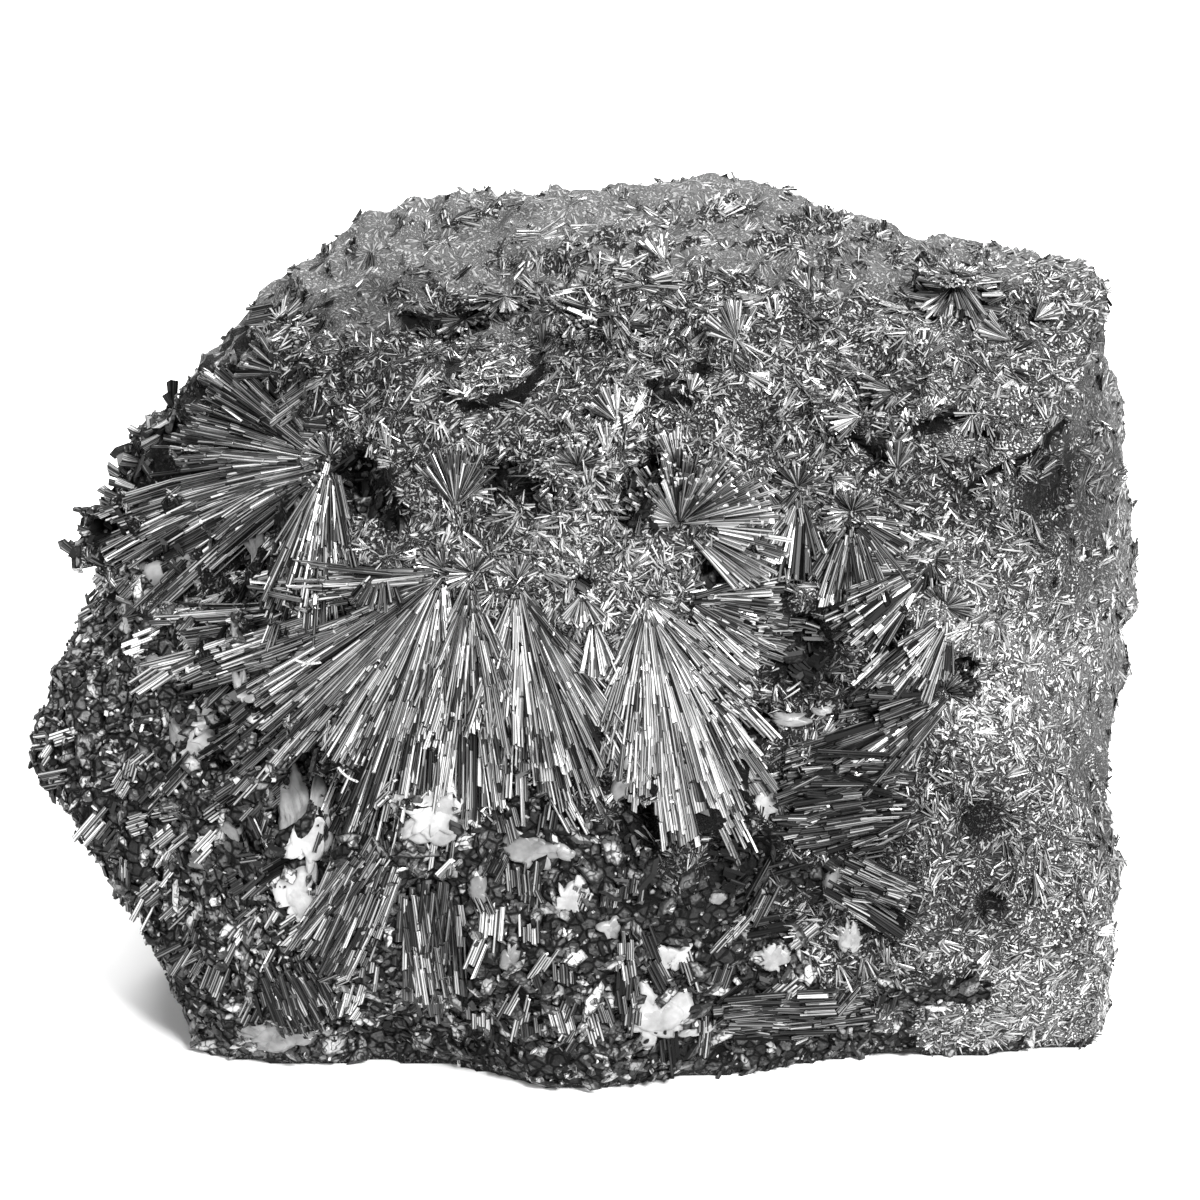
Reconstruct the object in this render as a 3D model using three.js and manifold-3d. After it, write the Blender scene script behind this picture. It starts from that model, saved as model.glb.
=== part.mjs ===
// Pyrolusite crystal cluster, in millimetres.
// Z is up and the crystal-covered front faces -Y. The cluster stands on its flat underside.
//
// It is one chunk of massive, fine-grained pyrolusite. Big sprays and bundles of needle
// crystals are seated in its skin, with white gangue grains caught between them.

import * as THREE from 'three';
import { ConvexGeometry } from 'three/addons/geometries/ConvexGeometry.js';
import { ImprovedNoise } from 'three/addons/math/ImprovedNoise.js';
import { mergeVertices } from 'three/addons/utils/BufferGeometryUtils.js';
import Module from 'manifold-3d';

const wasm = await Module();
wasm.setup();

const { clamp, degToRad, lerp } = THREE.MathUtils;

// ---------------------------------------------------------------- the massive body

// The body is a block of squares, pulled into shape by the tables below and cut flat at its base.
const BLOCK = { squares: { x: 16, y: 10, z: 12 }, rounding: 0.18, cutOff: 6 };

// Height of the top: rows run from the front rim to the back, columns from left to right.
const TOP_HEIGHT = [
  [43, 54, 53, 50, 49, 48],
  [46, 57, 58, 59, 56, 56],
  [45, 58, 60, 63, 59, 59],
  [40, 55, 57, 60, 55, 55],
];

// Where the front face stands in Y: rows run from the base to the rim, columns from left to right.
const FRONT_Y = [
  [-23, -26, -24, -22, -24, -23],
  [-21, -27, -28, -27, -27, -23],
  [-17, -25, -27.5, -28, -25, -21],
  [-12, -22, -26, -26, -24, -18],
  [-8, -16, -18, -17, -17, -13],
];

// Where the back face stands in Y, in the same order.
const BACK_Y = [
  [19, 25, 22, 21, 25, 18],
  [20, 28, 27, 26, 28, 21],
  [19, 27, 30, 27, 28, 24],
  [14, 23, 27, 25, 25, 17],
];

// How far the ends reach in X: rows run from the base up, columns from the front to the back.
const LEFT_X = [
  [-30, -32, -32, -29],
  [-36, -38, -37, -33],
  [-42, -41, -39, -35],
  [-37, -41, -42, -36],
  [-28, -32, -33, -28],
];
const RIGHT_X = [
  [43, 43, 40, 35],
  [43, 43, 42, 38],
  [39, 42, 45, 41],
  [37, 42, 44, 40],
  [37, 42, 43, 36],
];

// Bumps and hollows of the body: place, reach and rise (a negative rise is a hollow).
const BUMPS = [
  { at: [-2, -26, 3], reach: 8, rise: 2.8 },
  { at: [-15, -26, 2], reach: 6, rise: -3 },
  { at: [-27, -23, 3], reach: 6, rise: 2.5 },
  { at: [-42, -8, 22], reach: 6, rise: 5.3 },
  { at: [-40, 5, 44.5], reach: 8, rise: 8.5 },
  { at: [-27, 10, 56], reach: 10, rise: 4 },
  { at: [21, 14, 61], reach: 8, rise: -4.5 },
  { at: [41, 0, 50], reach: 6, rise: -1.5 },
  { at: [38, -22, 32], reach: 6, rise: -3 },
];

// Uneven relief all over the body.
const RELIEF = [
  { wavelength: 17, height: 3.6 },
  { wavelength: 7, height: 1.8 },
];
const NOISE_START = new THREE.Vector3(7.3, 3.1, 5.7);
const BODY_CENTRE = new THREE.Vector3(0, 0, 28);
const BODY_HALF = new THREE.Vector3(45, 27, 32);

// ---------------------------------------------------------------- crystals and grains

// The faces that crystals are seated on: the way out of the body, and up and right as that face is seen.
const FACES = {
  front: { out: [0, -1, 0], up: [0, 0, 1], right: [1, 0, 0] },
  top: { out: [0, 0, 1], up: [0, 1, 0], right: [1, 0, 0] },
  left: { out: [-1, 0, 0], up: [0, 0, 1], right: [0, -1, 0] },
};

// Sprays of blades. "at" is the heart, in steps right and up on the face. "ribs" gives clock angles
// (0 up, 90 right) with the length there, and the blades are spread evenly from the first to the last.
const SPRAYS = [
  { name: 'spray_centre_bright', at: [4, 40], blades: 8, width: 2,
    ribs: [[138, 11], [148, 20], [160, 22], [172, 19], [182, 15], [195, 11]] },
  { name: 'spray_centre', at: [-5.5, 41], blades: 6, width: 1.9,
    ribs: [[150, 16], [162, 17], [178, 15], [196, 13]] },
  { name: 'spray_lower_left', at: [-11, 41], blades: 10, width: 2.1,
    ribs: [[180, 12], [192, 15], [198, 27], [205, 17], [212, 17], [219, 25], [229, 24], [234, 19],
      [242, 27]] },
  { name: 'spray_upper_left', at: [-20, 47], blades: 8, width: 2,
    ribs: [[180, 9], [205, 12], [228, 16], [240, 17], [262, 13]] },
  { name: 'spray_centre_right', at: [6.5, 40], blades: 4, width: 1.5,
    ribs: [[98, 10], [113, 10], [124, 9]] },
  { name: 'rosette_dark_heart', at: [6.5, 45], blades: 9, width: 1.3, lift: 30,
    ribs: [[-80, 5], [-25, 6], [30, 6.5], [75, 7.5], [105, 7]] },
  { name: 'rosette_upper_middle', at: [-1.6, 50], blades: 7, width: 1, lift: 35,
    ribs: [[-110, 3.6], [0, 3.6], [110, 3.4], [200, 3.4]] },
  { name: 'spray_right_rim_lower', at: [27.5, 30], blades: 6, width: 1.7,
    ribs: [[238, 10], [252, 13], [266, 14], [286, 9]] },
  { name: 'spray_right_rim_middle', at: [26.8, 36.8], blades: 4, width: 1.5,
    ribs: [[204, 6], [214, 8], [228, 8]] },
  { name: 'spray_right_rim_upper', at: [25.6, 40.4], blades: 4, width: 1.4,
    ribs: [[234, 7], [254, 8]] },
  { name: 'spray_fan_right', at: [19.5, 44.5], blades: 5, width: 1.5,
    ribs: [[140, 5], [160, 6], [180, 6.5], [200, 6]] },
  { name: 'spray_upper_right', at: [15.5, 46], blades: 4, width: 1.4,
    ribs: [[170, 6], [190, 6.5], [220, 5.5]] },
  { name: 'bundle_right', at: [25, 23.2], blades: 4, width: 1.4, spread: 3.3,
    ribs: [[268, 9], [276, 9]] },
  { name: 'bundle_right_diagonal', at: [17.3, 18.4], blades: 3, width: 1.4, spread: 2,
    ribs: [[112, 8.5], [122, 8.5]] },
  { name: 'bundle_foot_right', at: [10, 6.5], blades: 3, width: 1.5, spread: 2.2,
    ribs: [[88, 11], [98, 11]] },
  { name: 'bundle_upright', at: [-12, 20], blades: 3, width: 1.6, spread: 2.4,
    ribs: [[176, 13], [184, 13]] },
  { name: 'bundle_foot_left', at: [-24, 12], blades: 3, width: 1.4, spread: 2.2,
    ribs: [[152, 8], [168, 8]] },
  { name: 'rosette_top_middle', face: 'top', at: [0, -9], blades: 7, width: 1.1, lift: 25,
    ribs: [[-160, 3.5], [-80, 4.5], [0, 4], [80, 4], [150, 4]] },
  { name: 'rosette_top_right', face: 'top', at: [28.5, 3], blades: 7, width: 1.1, lift: 25,
    ribs: [[-160, 4.5], [-90, 4], [0, 3.5], [100, 4], [160, 4.5]] },
  { name: 'slabs_left_end', face: 'left', at: [2, 36.5], blades: 5, width: 1.8, lift: 50,
    ribs: [[-150, 4.5], [-60, 4.5], [20, 4.5], [100, 4.5], [150, 4.5]] },
];
const BLADE = { sunk: 1.2, lift: 3, thickness: 1.3, heartShare: 0.5, uneven: 0.15 };
const BUNDLE_HEART_SHARE = 1;

// White gangue grains: place on the front face, and size across and up.
const GRAINS = [
  { name: 'gangue_left_large', at: [-21.8, 22.3], size: [3.2, 5.2] },
  { name: 'gangue_left_lower', at: [-22.2, 16.6], size: [2.6, 3.6] },
  { name: 'gangue_left_end', at: [-31, 25.2], size: [3, 2.2] },
  { name: 'gangue_middle_large', at: [-12, 24.4], size: [3.4, 4.6] },
  { name: 'gangue_middle', at: [-4.5, 21.5], size: [3, 2.4] },
  { name: 'gangue_middle_lower', at: [-1.8, 18.2], size: [2, 2.8] },
  { name: 'gangue_foot_large', at: [5, 7.8], size: [4.4, 4] },
  { name: 'gangue_foot_upper', at: [6, 12.2], size: [2.6, 2] },
  { name: 'gangue_foot_right', at: [13.7, 11], size: [2.4, 1.8] },
  { name: 'gangue_right', at: [19.5, 12.8], size: [1.8, 2.2] },
  { name: 'gangue_foot_left', at: [-24.5, 3], size: [4.4, 2.6] },
];
const GRAIN = { corners: 16, depth: 2.4, standsOut: 0.2 };

const GAP = 0.3;
// How far a socket runs out of the body, so that nothing closes over it.
const WAY_OUT = 12;
// A distance well past the whole cluster.
const FAR_AWAY = 200;
// A blade in the way of another is shortened step by step, down to the least share of its length.
const SHORTENING = { step: 0.12, least: 0.4 };

const STONE = {
  massive: { color: 0x3d3e40, roughness: 0.7, metalness: 0.3 },
  needles: { color: 0x8b8d90, roughness: 0.35, metalness: 0.8 },
  gangue: { color: 0xe6e4de, roughness: 0.6, metalness: 0 },
};

// ---------------------------------------------------------------- helpers

const noise = new ImprovedNoise();

// A repeatable source of numbers from 0 to 1.
function seeded(seed) {
  let state = seed;
  return () => {
    state = (state * 1664525 + 1013904223) % 4294967296;
    return state / 4294967296;
  };
}

// Reads a table between its entries: row and column run from 0 to 1.
function tableAt(table, row, column) {
  const y = clamp(row, 0, 1) * (table.length - 1);
  const x = clamp(column, 0, 1) * (table[0].length - 1);
  const above = Math.min(Math.floor(y), table.length - 2);
  const left = Math.min(Math.floor(x), table[0].length - 2);
  const across = (line) => lerp(line[left], line[left + 1], x - left);
  return lerp(across(table[above]), across(table[above + 1]), y - above);
}

function solidOf(geometry) {
  const bare = geometry.clone();
  bare.deleteAttribute('normal');
  bare.deleteAttribute('uv');
  const merged = mergeVertices(bare, 1e-4);
  const mesh = new wasm.Mesh({
    numProp: 3,
    vertProperties: Float32Array.from(merged.attributes.position.array),
    triVerts: Uint32Array.from(merged.index.array),
  });
  return new wasm.Manifold(mesh);
}

function hullOf(points) {
  return solidOf(new ConvexGeometry(points));
}

function geometryOf(solid) {
  const mesh = solid.getMesh();
  const geometry = new THREE.BufferGeometry();
  geometry.setAttribute('position', new THREE.BufferAttribute(mesh.vertProperties, mesh.numProp));
  geometry.setIndex(new THREE.BufferAttribute(mesh.triVerts, 1));
  geometry.computeVertexNormals();
  return geometry;
}

function namedMesh(name, solid, look) {
  const mesh = new THREE.Mesh(geometryOf(solid), new THREE.MeshStandardMaterial(look));
  mesh.name = name;
  return mesh;
}

// ---------------------------------------------------------------- making the body

// Rounds a point of the cube from -1 to 1, so that the block has no sharp edges.
function rounded(corner) {
  const [x2, y2, z2] = corner.toArray().map((value) => value * value);
  const onBall = new THREE.Vector3(
    corner.x * Math.sqrt(1 - y2 / 2 - z2 / 2 + (y2 * z2) / 3),
    corner.y * Math.sqrt(1 - z2 / 2 - x2 / 2 + (z2 * x2) / 3),
    corner.z * Math.sqrt(1 - x2 / 2 - y2 / 2 + (x2 * y2) / 3),
  );
  return corner.clone().lerp(onBall, BLOCK.rounding);
}

// Carries a point of the cube to its place on the body, before the relief is added.
function placeOnBlock(corner) {
  const across = (corner.x + 1) / 2;
  const back = (corner.y + 1) / 2;
  const up = (corner.z + 1) / 2;
  const share = rounded(corner).addScalar(1).divideScalar(2);
  return new THREE.Vector3(
    lerp(tableAt(LEFT_X, up, back), tableAt(RIGHT_X, up, back), share.x),
    lerp(tableAt(FRONT_Y, up, across), tableAt(BACK_Y, up, across), share.y),
    lerp(-BLOCK.cutOff, tableAt(TOP_HEIGHT, back, across), share.z),
  );
}

function reliefAt(point) {
  let rise = 0;
  for (const { wavelength, height } of RELIEF) {
    const place = point.clone().divideScalar(wavelength).add(NOISE_START);
    rise += height * noise.noise(place.x, place.y, place.z);
  }
  for (const bump of BUMPS) {
    const away = point.distanceTo(new THREE.Vector3(...bump.at)) / bump.reach;
    rise += bump.rise * Math.exp(-away * away);
  }
  return rise;
}

function makeBody() {
  const { x, y, z } = BLOCK.squares;
  const block = new THREE.BoxGeometry(2, 2, 2, x, y, z);
  const positions = block.attributes.position;
  for (let i = 0; i < positions.count; i += 1) {
    const point = placeOnBlock(new THREE.Vector3().fromBufferAttribute(positions, i));
    const outward = point.clone().sub(BODY_CENTRE).divide(BODY_HALF).normalize();
    point.addScaledVector(outward, reliefAt(point));
    positions.setXYZ(i, point.x, point.y, point.z);
  }
  const underground = new THREE.BoxGeometry(FAR_AWAY, FAR_AWAY, FAR_AWAY).translate(0, 0, -FAR_AWAY / 2);
  return solidOf(block).subtract(solidOf(underground));
}

// ---------------------------------------------------------------- making crystals and grains

function axesOf(faceName) {
  const face = FACES[faceName];
  return {
    out: new THREE.Vector3(...face.out),
    up: new THREE.Vector3(...face.up),
    right: new THREE.Vector3(...face.right),
  };
}

// Finds the body's skin, looking straight at a face. Past the body's edge there is none.
function skinPoint(skin, axes, right, up) {
  const start = axes.out.clone().multiplyScalar(FAR_AWAY);
  start.addScaledVector(axes.right, right).addScaledVector(axes.up, up);
  const inward = axes.out.clone().negate();
  return new THREE.Raycaster(start, inward).intersectObject(skin)[0]?.point;
}

// The space that a crystal or grain takes out of the body: its own with a gap, and the way out.
function socketOf(roomCorners, out) {
  const outside = roomCorners.map((corner) => corner.clone().addScaledVector(out, WAY_OUT));
  return hullOf([...roomCorners, ...outside]);
}

// Reads the fan's clock angle and length at a share of the way from its first rib to its last.
function ribAt(ribs, share) {
  const clock = lerp(ribs[0][0], ribs[ribs.length - 1][0], share);
  const next = Math.max(1, ribs.findIndex(([angle]) => angle >= clock - 1e-6));
  const [before, after] = [ribs[next - 1], ribs[next]];
  const part = (clock - before[0]) / (after[0] - before[0]);
  return { clock: degToRad(clock), length: lerp(before[1], after[1], part) };
}

// The middle line of one blade, from its heart under the skin to its tip on the skin or above it.
function bladeLine(spray, skin, axes, start, clock, length) {
  const lift = degToRad(spray.lift ?? BLADE.lift);
  const reach = length * Math.cos(lift);
  const heart = skinPoint(skin, axes, start.x, start.y).addScaledVector(axes.out, -BLADE.sunk);
  const tip = skinPoint(skin, axes, start.x + reach * Math.sin(clock), start.y + reach * Math.cos(clock));
  return { heart, tip: tip?.addScaledVector(axes.out, length * Math.sin(lift)) };
}

// The eight corners of a blade on its middle line, widened on every side by the room around it.
function bladeCorners(spray, out, { heart, tip }, room) {
  const along = tip.clone().sub(heart).normalize();
  const side = new THREE.Vector3().crossVectors(along, out).normalize();
  const rise = new THREE.Vector3().crossVectors(side, along);
  const heartWidth = spray.width * (spray.spread ? BUNDLE_HEART_SHARE : BLADE.heartShare);
  const ends = [
    { centre: heart.clone().addScaledVector(along, -room), half: heartWidth / 2 + room },
    { centre: tip.clone().addScaledVector(along, room), half: spray.width / 2 + room },
  ];
  const high = BLADE.thickness / 2 + room;
  const corners = [];
  for (const { centre, half } of ends) {
    for (const [across, up] of [[-half, -high], [half, -high], [half, high], [-half, high]]) {
      corners.push(centre.clone().addScaledVector(side, across).addScaledVector(rise, up));
    }
  }
  return corners;
}

// Grows one blade, stopping it short where it would run past the body or into an earlier crystal.
function growBlade(spray, skin, axes, start, clock, length, neighbours) {
  for (let share = 1; share > SHORTENING.least; share -= SHORTENING.step) {
    const line = bladeLine(spray, skin, axes, start, clock, length * share);
    if (!line.tip) continue;
    const room = bladeCorners(spray, axes.out, line, GAP);
    if (neighbours.every((solid) => hullOf(room).intersect(solid).isEmpty())) {
      return { corners: bladeCorners(spray, axes.out, line, 0), room };
    }
  }
  return null;
}

function makeSpray(spray, skin, neighbours, random) {
  const axes = axesOf(spray.face ?? 'front');
  const middle = degToRad((spray.ribs[0][0] + spray.ribs[spray.ribs.length - 1][0]) / 2);
  const blades = [];
  for (let i = 0; i < spray.blades; i += 1) {
    const share = i / (spray.blades - 1);
    const { clock, length } = ribAt(spray.ribs, share);
    const sideways = (spray.spread ?? 0) * (0.5 - share);
    const start = {
      x: spray.at[0] + sideways * -Math.cos(middle),
      y: spray.at[1] + sideways * Math.sin(middle),
    };
    const unevenLength = length * (1 - BLADE.uneven * random());
    const blade = growBlade(spray, skin, axes, start, clock, unevenLength, neighbours);
    if (blade) blades.push(blade);
  }
  return {
    solid: blades.map((blade) => hullOf(blade.corners)).reduce((joined, blade) => joined.add(blade)),
    socket: socketOf(blades.flatMap((blade) => blade.room), axes.out),
  };
}

function makeGrain(grain, skin, random) {
  const axes = axesOf('front');
  const centre = skinPoint(skin, axes, ...grain.at);
  centre.addScaledVector(axes.out, (GRAIN.standsOut - 0.5) * GRAIN.depth);
  const half = new THREE.Vector3(grain.size[0] / 2, GRAIN.depth / 2, grain.size[1] / 2);
  const roomHalf = half.clone().addScalar(GAP);
  const corners = [];
  const roomCorners = [];
  for (let i = 0; i < GRAIN.corners; i += 1) {
    const around = 2 * Math.PI * random();
    const height = 2 * (i + 0.5) / GRAIN.corners - 1;
    const level = Math.sqrt(1 - height * height);
    const onBall = new THREE.Vector3(level * Math.cos(around), level * Math.sin(around), height);
    corners.push(onBall.clone().multiply(half).add(centre));
    roomCorners.push(onBall.clone().multiply(roomHalf).add(centre));
  }
  return { solid: hullOf(corners), socket: socketOf(roomCorners, axes.out) };
}

// ---------------------------------------------------------------- the cluster

const cluster = new THREE.Group();
cluster.name = 'pyrolusite_cluster';

const random = seeded(7);
let body = makeBody();
const skin = new THREE.Mesh(geometryOf(body), new THREE.MeshBasicMaterial());
const crystals = [];

for (const spray of SPRAYS) {
  const { solid, socket } = makeSpray(spray, skin, crystals, random);
  crystals.push(solid);
  body = body.subtract(socket);
  cluster.add(namedMesh(spray.name, solid, STONE.needles));
}
for (const grain of GRAINS) {
  const { solid, socket } = makeGrain(grain, skin, random);
  body = body.subtract(socket);
  cluster.add(namedMesh(grain.name, solid, STONE.gangue));
}
cluster.add(namedMesh('massive_body', body, STONE.massive));

export default cluster;
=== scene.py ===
"""Looks of the pyrolusite cluster: its broken skin, needle fans, felted druse and white gangue.

Lengths are in millimetres and turn into metres where a mesh is made. Everything is grown on the
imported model: its solids are melted into one skin, and needles, chips and gangue are seated on it.
"""

import math

import bpy
import numpy as np
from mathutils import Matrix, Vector, noise
from mathutils.bvhtree import BVHTree


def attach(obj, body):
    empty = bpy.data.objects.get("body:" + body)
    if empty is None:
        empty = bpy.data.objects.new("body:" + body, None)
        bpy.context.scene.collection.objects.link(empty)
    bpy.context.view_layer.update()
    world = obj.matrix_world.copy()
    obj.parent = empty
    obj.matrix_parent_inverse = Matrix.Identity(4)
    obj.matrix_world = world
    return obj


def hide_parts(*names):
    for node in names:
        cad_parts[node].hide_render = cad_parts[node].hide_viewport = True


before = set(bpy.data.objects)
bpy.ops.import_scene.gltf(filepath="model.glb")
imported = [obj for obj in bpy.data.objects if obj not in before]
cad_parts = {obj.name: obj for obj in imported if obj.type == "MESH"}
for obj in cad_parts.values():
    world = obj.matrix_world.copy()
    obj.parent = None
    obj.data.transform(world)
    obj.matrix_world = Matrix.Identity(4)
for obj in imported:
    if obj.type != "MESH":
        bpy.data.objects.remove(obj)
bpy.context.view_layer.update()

MM = 0.001
SEED = 11
# A seed moves the noise by this much, which parts the noises from one another.
NOISE_SHIFT = (17.3, 5.1, 9.7)
# Seeds of the noise of the relief (and the two after it), the hollows, the knobs and the borders
# of the zones (and the one after each).
NOISE = {"relief": 0, "hollows": 4, "knobs": 9, "across": 6, "back": 18, "up": 12}

# The camera looks straight along +Y, from above the horizon.
CAMERA = {"target": (0.65, 0, 29.4), "distance": 300, "elevation": 24, "lens": 111.1}

# A softbox: where it stands, its width and height, and its power in watts.
LIGHTS = {
    "key": {"at": (260, -300, 420), "size": (260, 260), "power": 10.2},
    "fill": {"at": (-420, -260, 160), "size": (260, 320), "power": 1.6},
    "back": {"at": (-60, 380, 360), "size": (420, 160), "power": 5.0},
}
LIGHTS_AIM_AT = (0, 0, 30)
# Brightness of the white sky, and the pale floor, which reaches so far from the middle.
SKY = 0.12
FLOOR = {"reach": 3000, "colour": (0.9, 0.9, 0.9), "roughness": 0.8}

# Each face of the block: which way is out, up and right for somebody looking at it.
FACES = {
    "front": {"out": (0, -1, 0), "up": (0, 0, 1), "right": (1, 0, 0)},
    "top": {"out": (0, 0, 1), "up": (0, 1, 0), "right": (1, 0, 0)},
    "left": {"out": (-1, 0, 0), "up": (0, 0, 1), "right": (0, -1, 0)},
}

# Sprays of needles: heart on the face as (right, up), width of a needle, brightness, and ribs as
# (clock angle, length), with 0 uphill and 90 to the right. A spray lies along the skin, or rises
# from it by about its lift in degrees. The needles of a bundle start side by side over its spread,
# and those with a patch start within that of the heart. A spray named as a solid of the packed
# model stands for it, and the others fill in between those.
SPRAYS = {
    "spray_centre_bright": {
        "at": (4, 40), "needle": 0.27, "tone": 0.73,
        "ribs": [
            (124, 9), (138, 13), (148, 20), (160, 22), (172, 19), (182, 15), (195, 12), (206, 8),
        ],
    },
    "spray_centre": {
        "at": (-5.5, 41), "needle": 0.26, "tone": 0.63,
        "ribs": [(138, 12), (148, 17), (162, 17), (178, 16), (190, 15), (204, 12)],
    },
    "spray_lower_left": {
        "at": (-11, 41), "needle": 0.26, "tone": 0.6,
        "ribs": [
            (174, 14), (192, 18), (198, 29), (206, 20), (214, 24), (222, 20), (229, 26), (241, 29),
            (252, 26), (262, 14),
        ],
    },
    "spray_left_second": {
        "at": (-8.8, 41.2), "needle": 0.26, "tone": 0.6,
        "ribs": [(162, 12), (172, 17), (186, 17), (198, 14), (206, 10)],
    },
    "spray_upper_left": {
        "at": (-20, 46.5), "needle": 0.25, "tone": 0.52,
        "ribs": [
            (160, 8), (180, 11), (201, 15), (212, 19), (226, 23), (240, 24), (262, 20), (282, 15),
            (305, 10),
        ],
    },
    "spray_centre_right": {
        "at": (6.5, 40), "needle": 0.29, "tone": 0.6,
        "ribs": [(82, 8), (90, 9.5), (99, 10.5), (113, 10.5), (130, 9)],
    },
    "rosette_dark_heart": {
        "at": (6.5, 45), "needle": 0.3, "tone": 0.7, "lift": 26,
        "ribs": [(-90, 3.5), (-25, 6), (25, 6), (70, 7.5), (106, 8.5), (135, 6.5)],
    },
    "rosette_upper_middle": {
        "at": (-1, 49.4), "needle": 0.26, "tone": 0.62, "lift": 24,
        "ribs": [(-170, 4.4), (-110, 3.8), (-60, 2.5), (60, 2.5), (110, 3.4), (170, 4.4)],
    },
    "spray_right_rim_lower": {
        "at": (27, 29.4), "needle": 0.32, "tone": 0.4,
        "ribs": [(228, 10), (238, 11), (252, 13), (264, 13)],
    },
    "spray_dark_wedge": {
        "at": (27.4, 29.8), "needle": 0.34, "tone": 0.2,
        "ribs": [(266, 8.4), (276, 8.6), (286, 8.4)],
    },
    "spray_right_rim_middle": {
        "at": (26.8, 36.8), "needle": 0.32, "tone": 0.55,
        "ribs": [(185, 6), (197, 8.5), (220, 8), (235, 9)],
    },
    "spray_right_rim_upper": {
        "at": (25.6, 40.4), "needle": 0.3, "tone": 0.45,
        "ribs": [(218, 8), (228, 8.5), (251, 8.5), (275, 7)],
    },
    "spray_fan_right": {
        "at": (19.5, 44.5), "needle": 0.3, "tone": 0.58,
        "ribs": [(105, 4), (140, 5.5), (160, 6.5), (185, 7), (215, 6)],
    },
    "spray_upper_right": {
        "at": (15.5, 46), "needle": 0.3, "tone": 0.5,
        "ribs": [(160, 4.5), (190, 6.5), (226, 6), (245, 5)],
    },
    "bundle_right": {
        "at": (25.6, 23.2), "needle": 0.3, "tone": 0.36, "spread": 5,
        "ribs": [(254, 9), (264, 11), (278, 11), (288, 9)],
    },
    "bundle_right_diagonal": {
        "at": (17.3, 18.4), "needle": 0.34, "tone": 0.48, "spread": 2.8,
        "ribs": [(112, 9), (122, 9)],
    },
    "bundle_foot_right": {
        "at": (9, 6), "needle": 0.32, "tone": 0.48, "spread": 3,
        "ribs": [(88, 12), (98, 12)],
    },
    "bundle_upright": {
        "at": (-12, 20), "needle": 0.42, "tone": 0.44, "spread": 2.8,
        "ribs": [(176, 14), (184, 13)],
    },
    "bundle_left_tail": {
        "at": (-15.6, 22.5), "needle": 0.3, "tone": 0.46, "spread": 2.6,
        "ribs": [(201, 13), (212, 13)],
    },
    "bundle_foot_left": {
        "at": (-24, 12), "needle": 0.4, "tone": 0.35, "spread": 3,
        "ribs": [(152, 8), (168, 8)],
    },
    "rosette_top_middle": {
        "face": "top", "at": (0.6, -8), "needle": 0.28, "tone": 0.62,
        "ribs": [(-175, 3.8), (-80, 4.5), (0, 2.6), (80, 4), (175, 4)],
    },
    "rosette_top_right": {
        "face": "top", "at": (28.4, 0), "needle": 0.28, "tone": 0.6,
        "ribs": [(-175, 4), (-90, 4), (0, 3.5), (100, 4), (175, 4)],
    },
    "slabs_left_end": {
        "face": "left", "at": (1, 38), "needle": 0.8, "tone": 0.42, "lift": 50, "patch": 7,
        "ribs": [(-170, 1.8), (-60, 2.4), (20, 1.8), (100, 2.2), (170, 1.8)],
    },
}

# Small fans of short needles: heart on the front as (right, up), first and last clock angle,
# length and brightness. They lie on the skin, with 0 uphill and 90 to the right.
SMALL_FANS = [
    ((32.4, 53.2), (245, 305), 3.0, 0.72), ((32.4, 51.3), (150, 215), 1.4, 1.0),
    ((25.3, 52.7), (5, 65), 2.6, 0.6), ((23.1, 51.4), (235, 300), 3.4, 0.62),
    ((20.3, 50.2), (190, 290), 2.6, 0.66), ((13.3, 56.8), (225, 290), 2.6, 0.75),
    ((16.9, 56.5), (-50, 50), 2.2, 0.6), ((37.5, 54.6), (-50, 50), 1.8, 0.58),
    ((34.5, 54.2), (25, 95), 2.2, 0.7), ((28.9, 50), (150, 215), 2.4, 0.5),
    ((30.2, 46.8), (290, 350), 2.0, 0.55), ((23, 47.2), (-45, 45), 2.2, 0.5),
    ((3.1, 58.3), (85, 150), 3.6, 0.68), ((5.6, 59.2), (-35, 35), 2.4, 0.62),
    ((11.1, 54.8), (-70, 65), 3.2, 0.65), ((-3.7, 54.5), (-75, 25), 3.2, 0.5),
    ((-9.8, 54.3), (60, 330), 3.0, 0.36), ((-6.7, 56), (100, 260), 2.8, 0.42),
    ((1.9, 52.2), (-60, 25), 2.8, 0.62), ((-10.1, 45.6), (-60, 50), 4.2, 0.5),
    ((6.4, 49), (-30, 12), 3.2, 0.68), ((7.4, 53.2), (40, 140), 1.8, 0.75),
    ((-2.7, 46.2), (-40, 35), 2.4, 0.55), ((12.2, 47.2), (162, 204), 4.2, 0.58),
    ((-0.7, 40.6), (140, 224), 2.8, 0.75), ((0.1, 39.1), (156, 200), 4.4, 0.6),
    ((34.1, 16.3), (150, 196), 2.6, 0.62), ((9.6, 43.6), (60, 110), 3.4, 0.6),
    ((-15.5, 41.5), (150, 215), 4.0, 0.45), ((-24, 50.5), (240, 300), 4.0, 0.4),
]

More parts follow.
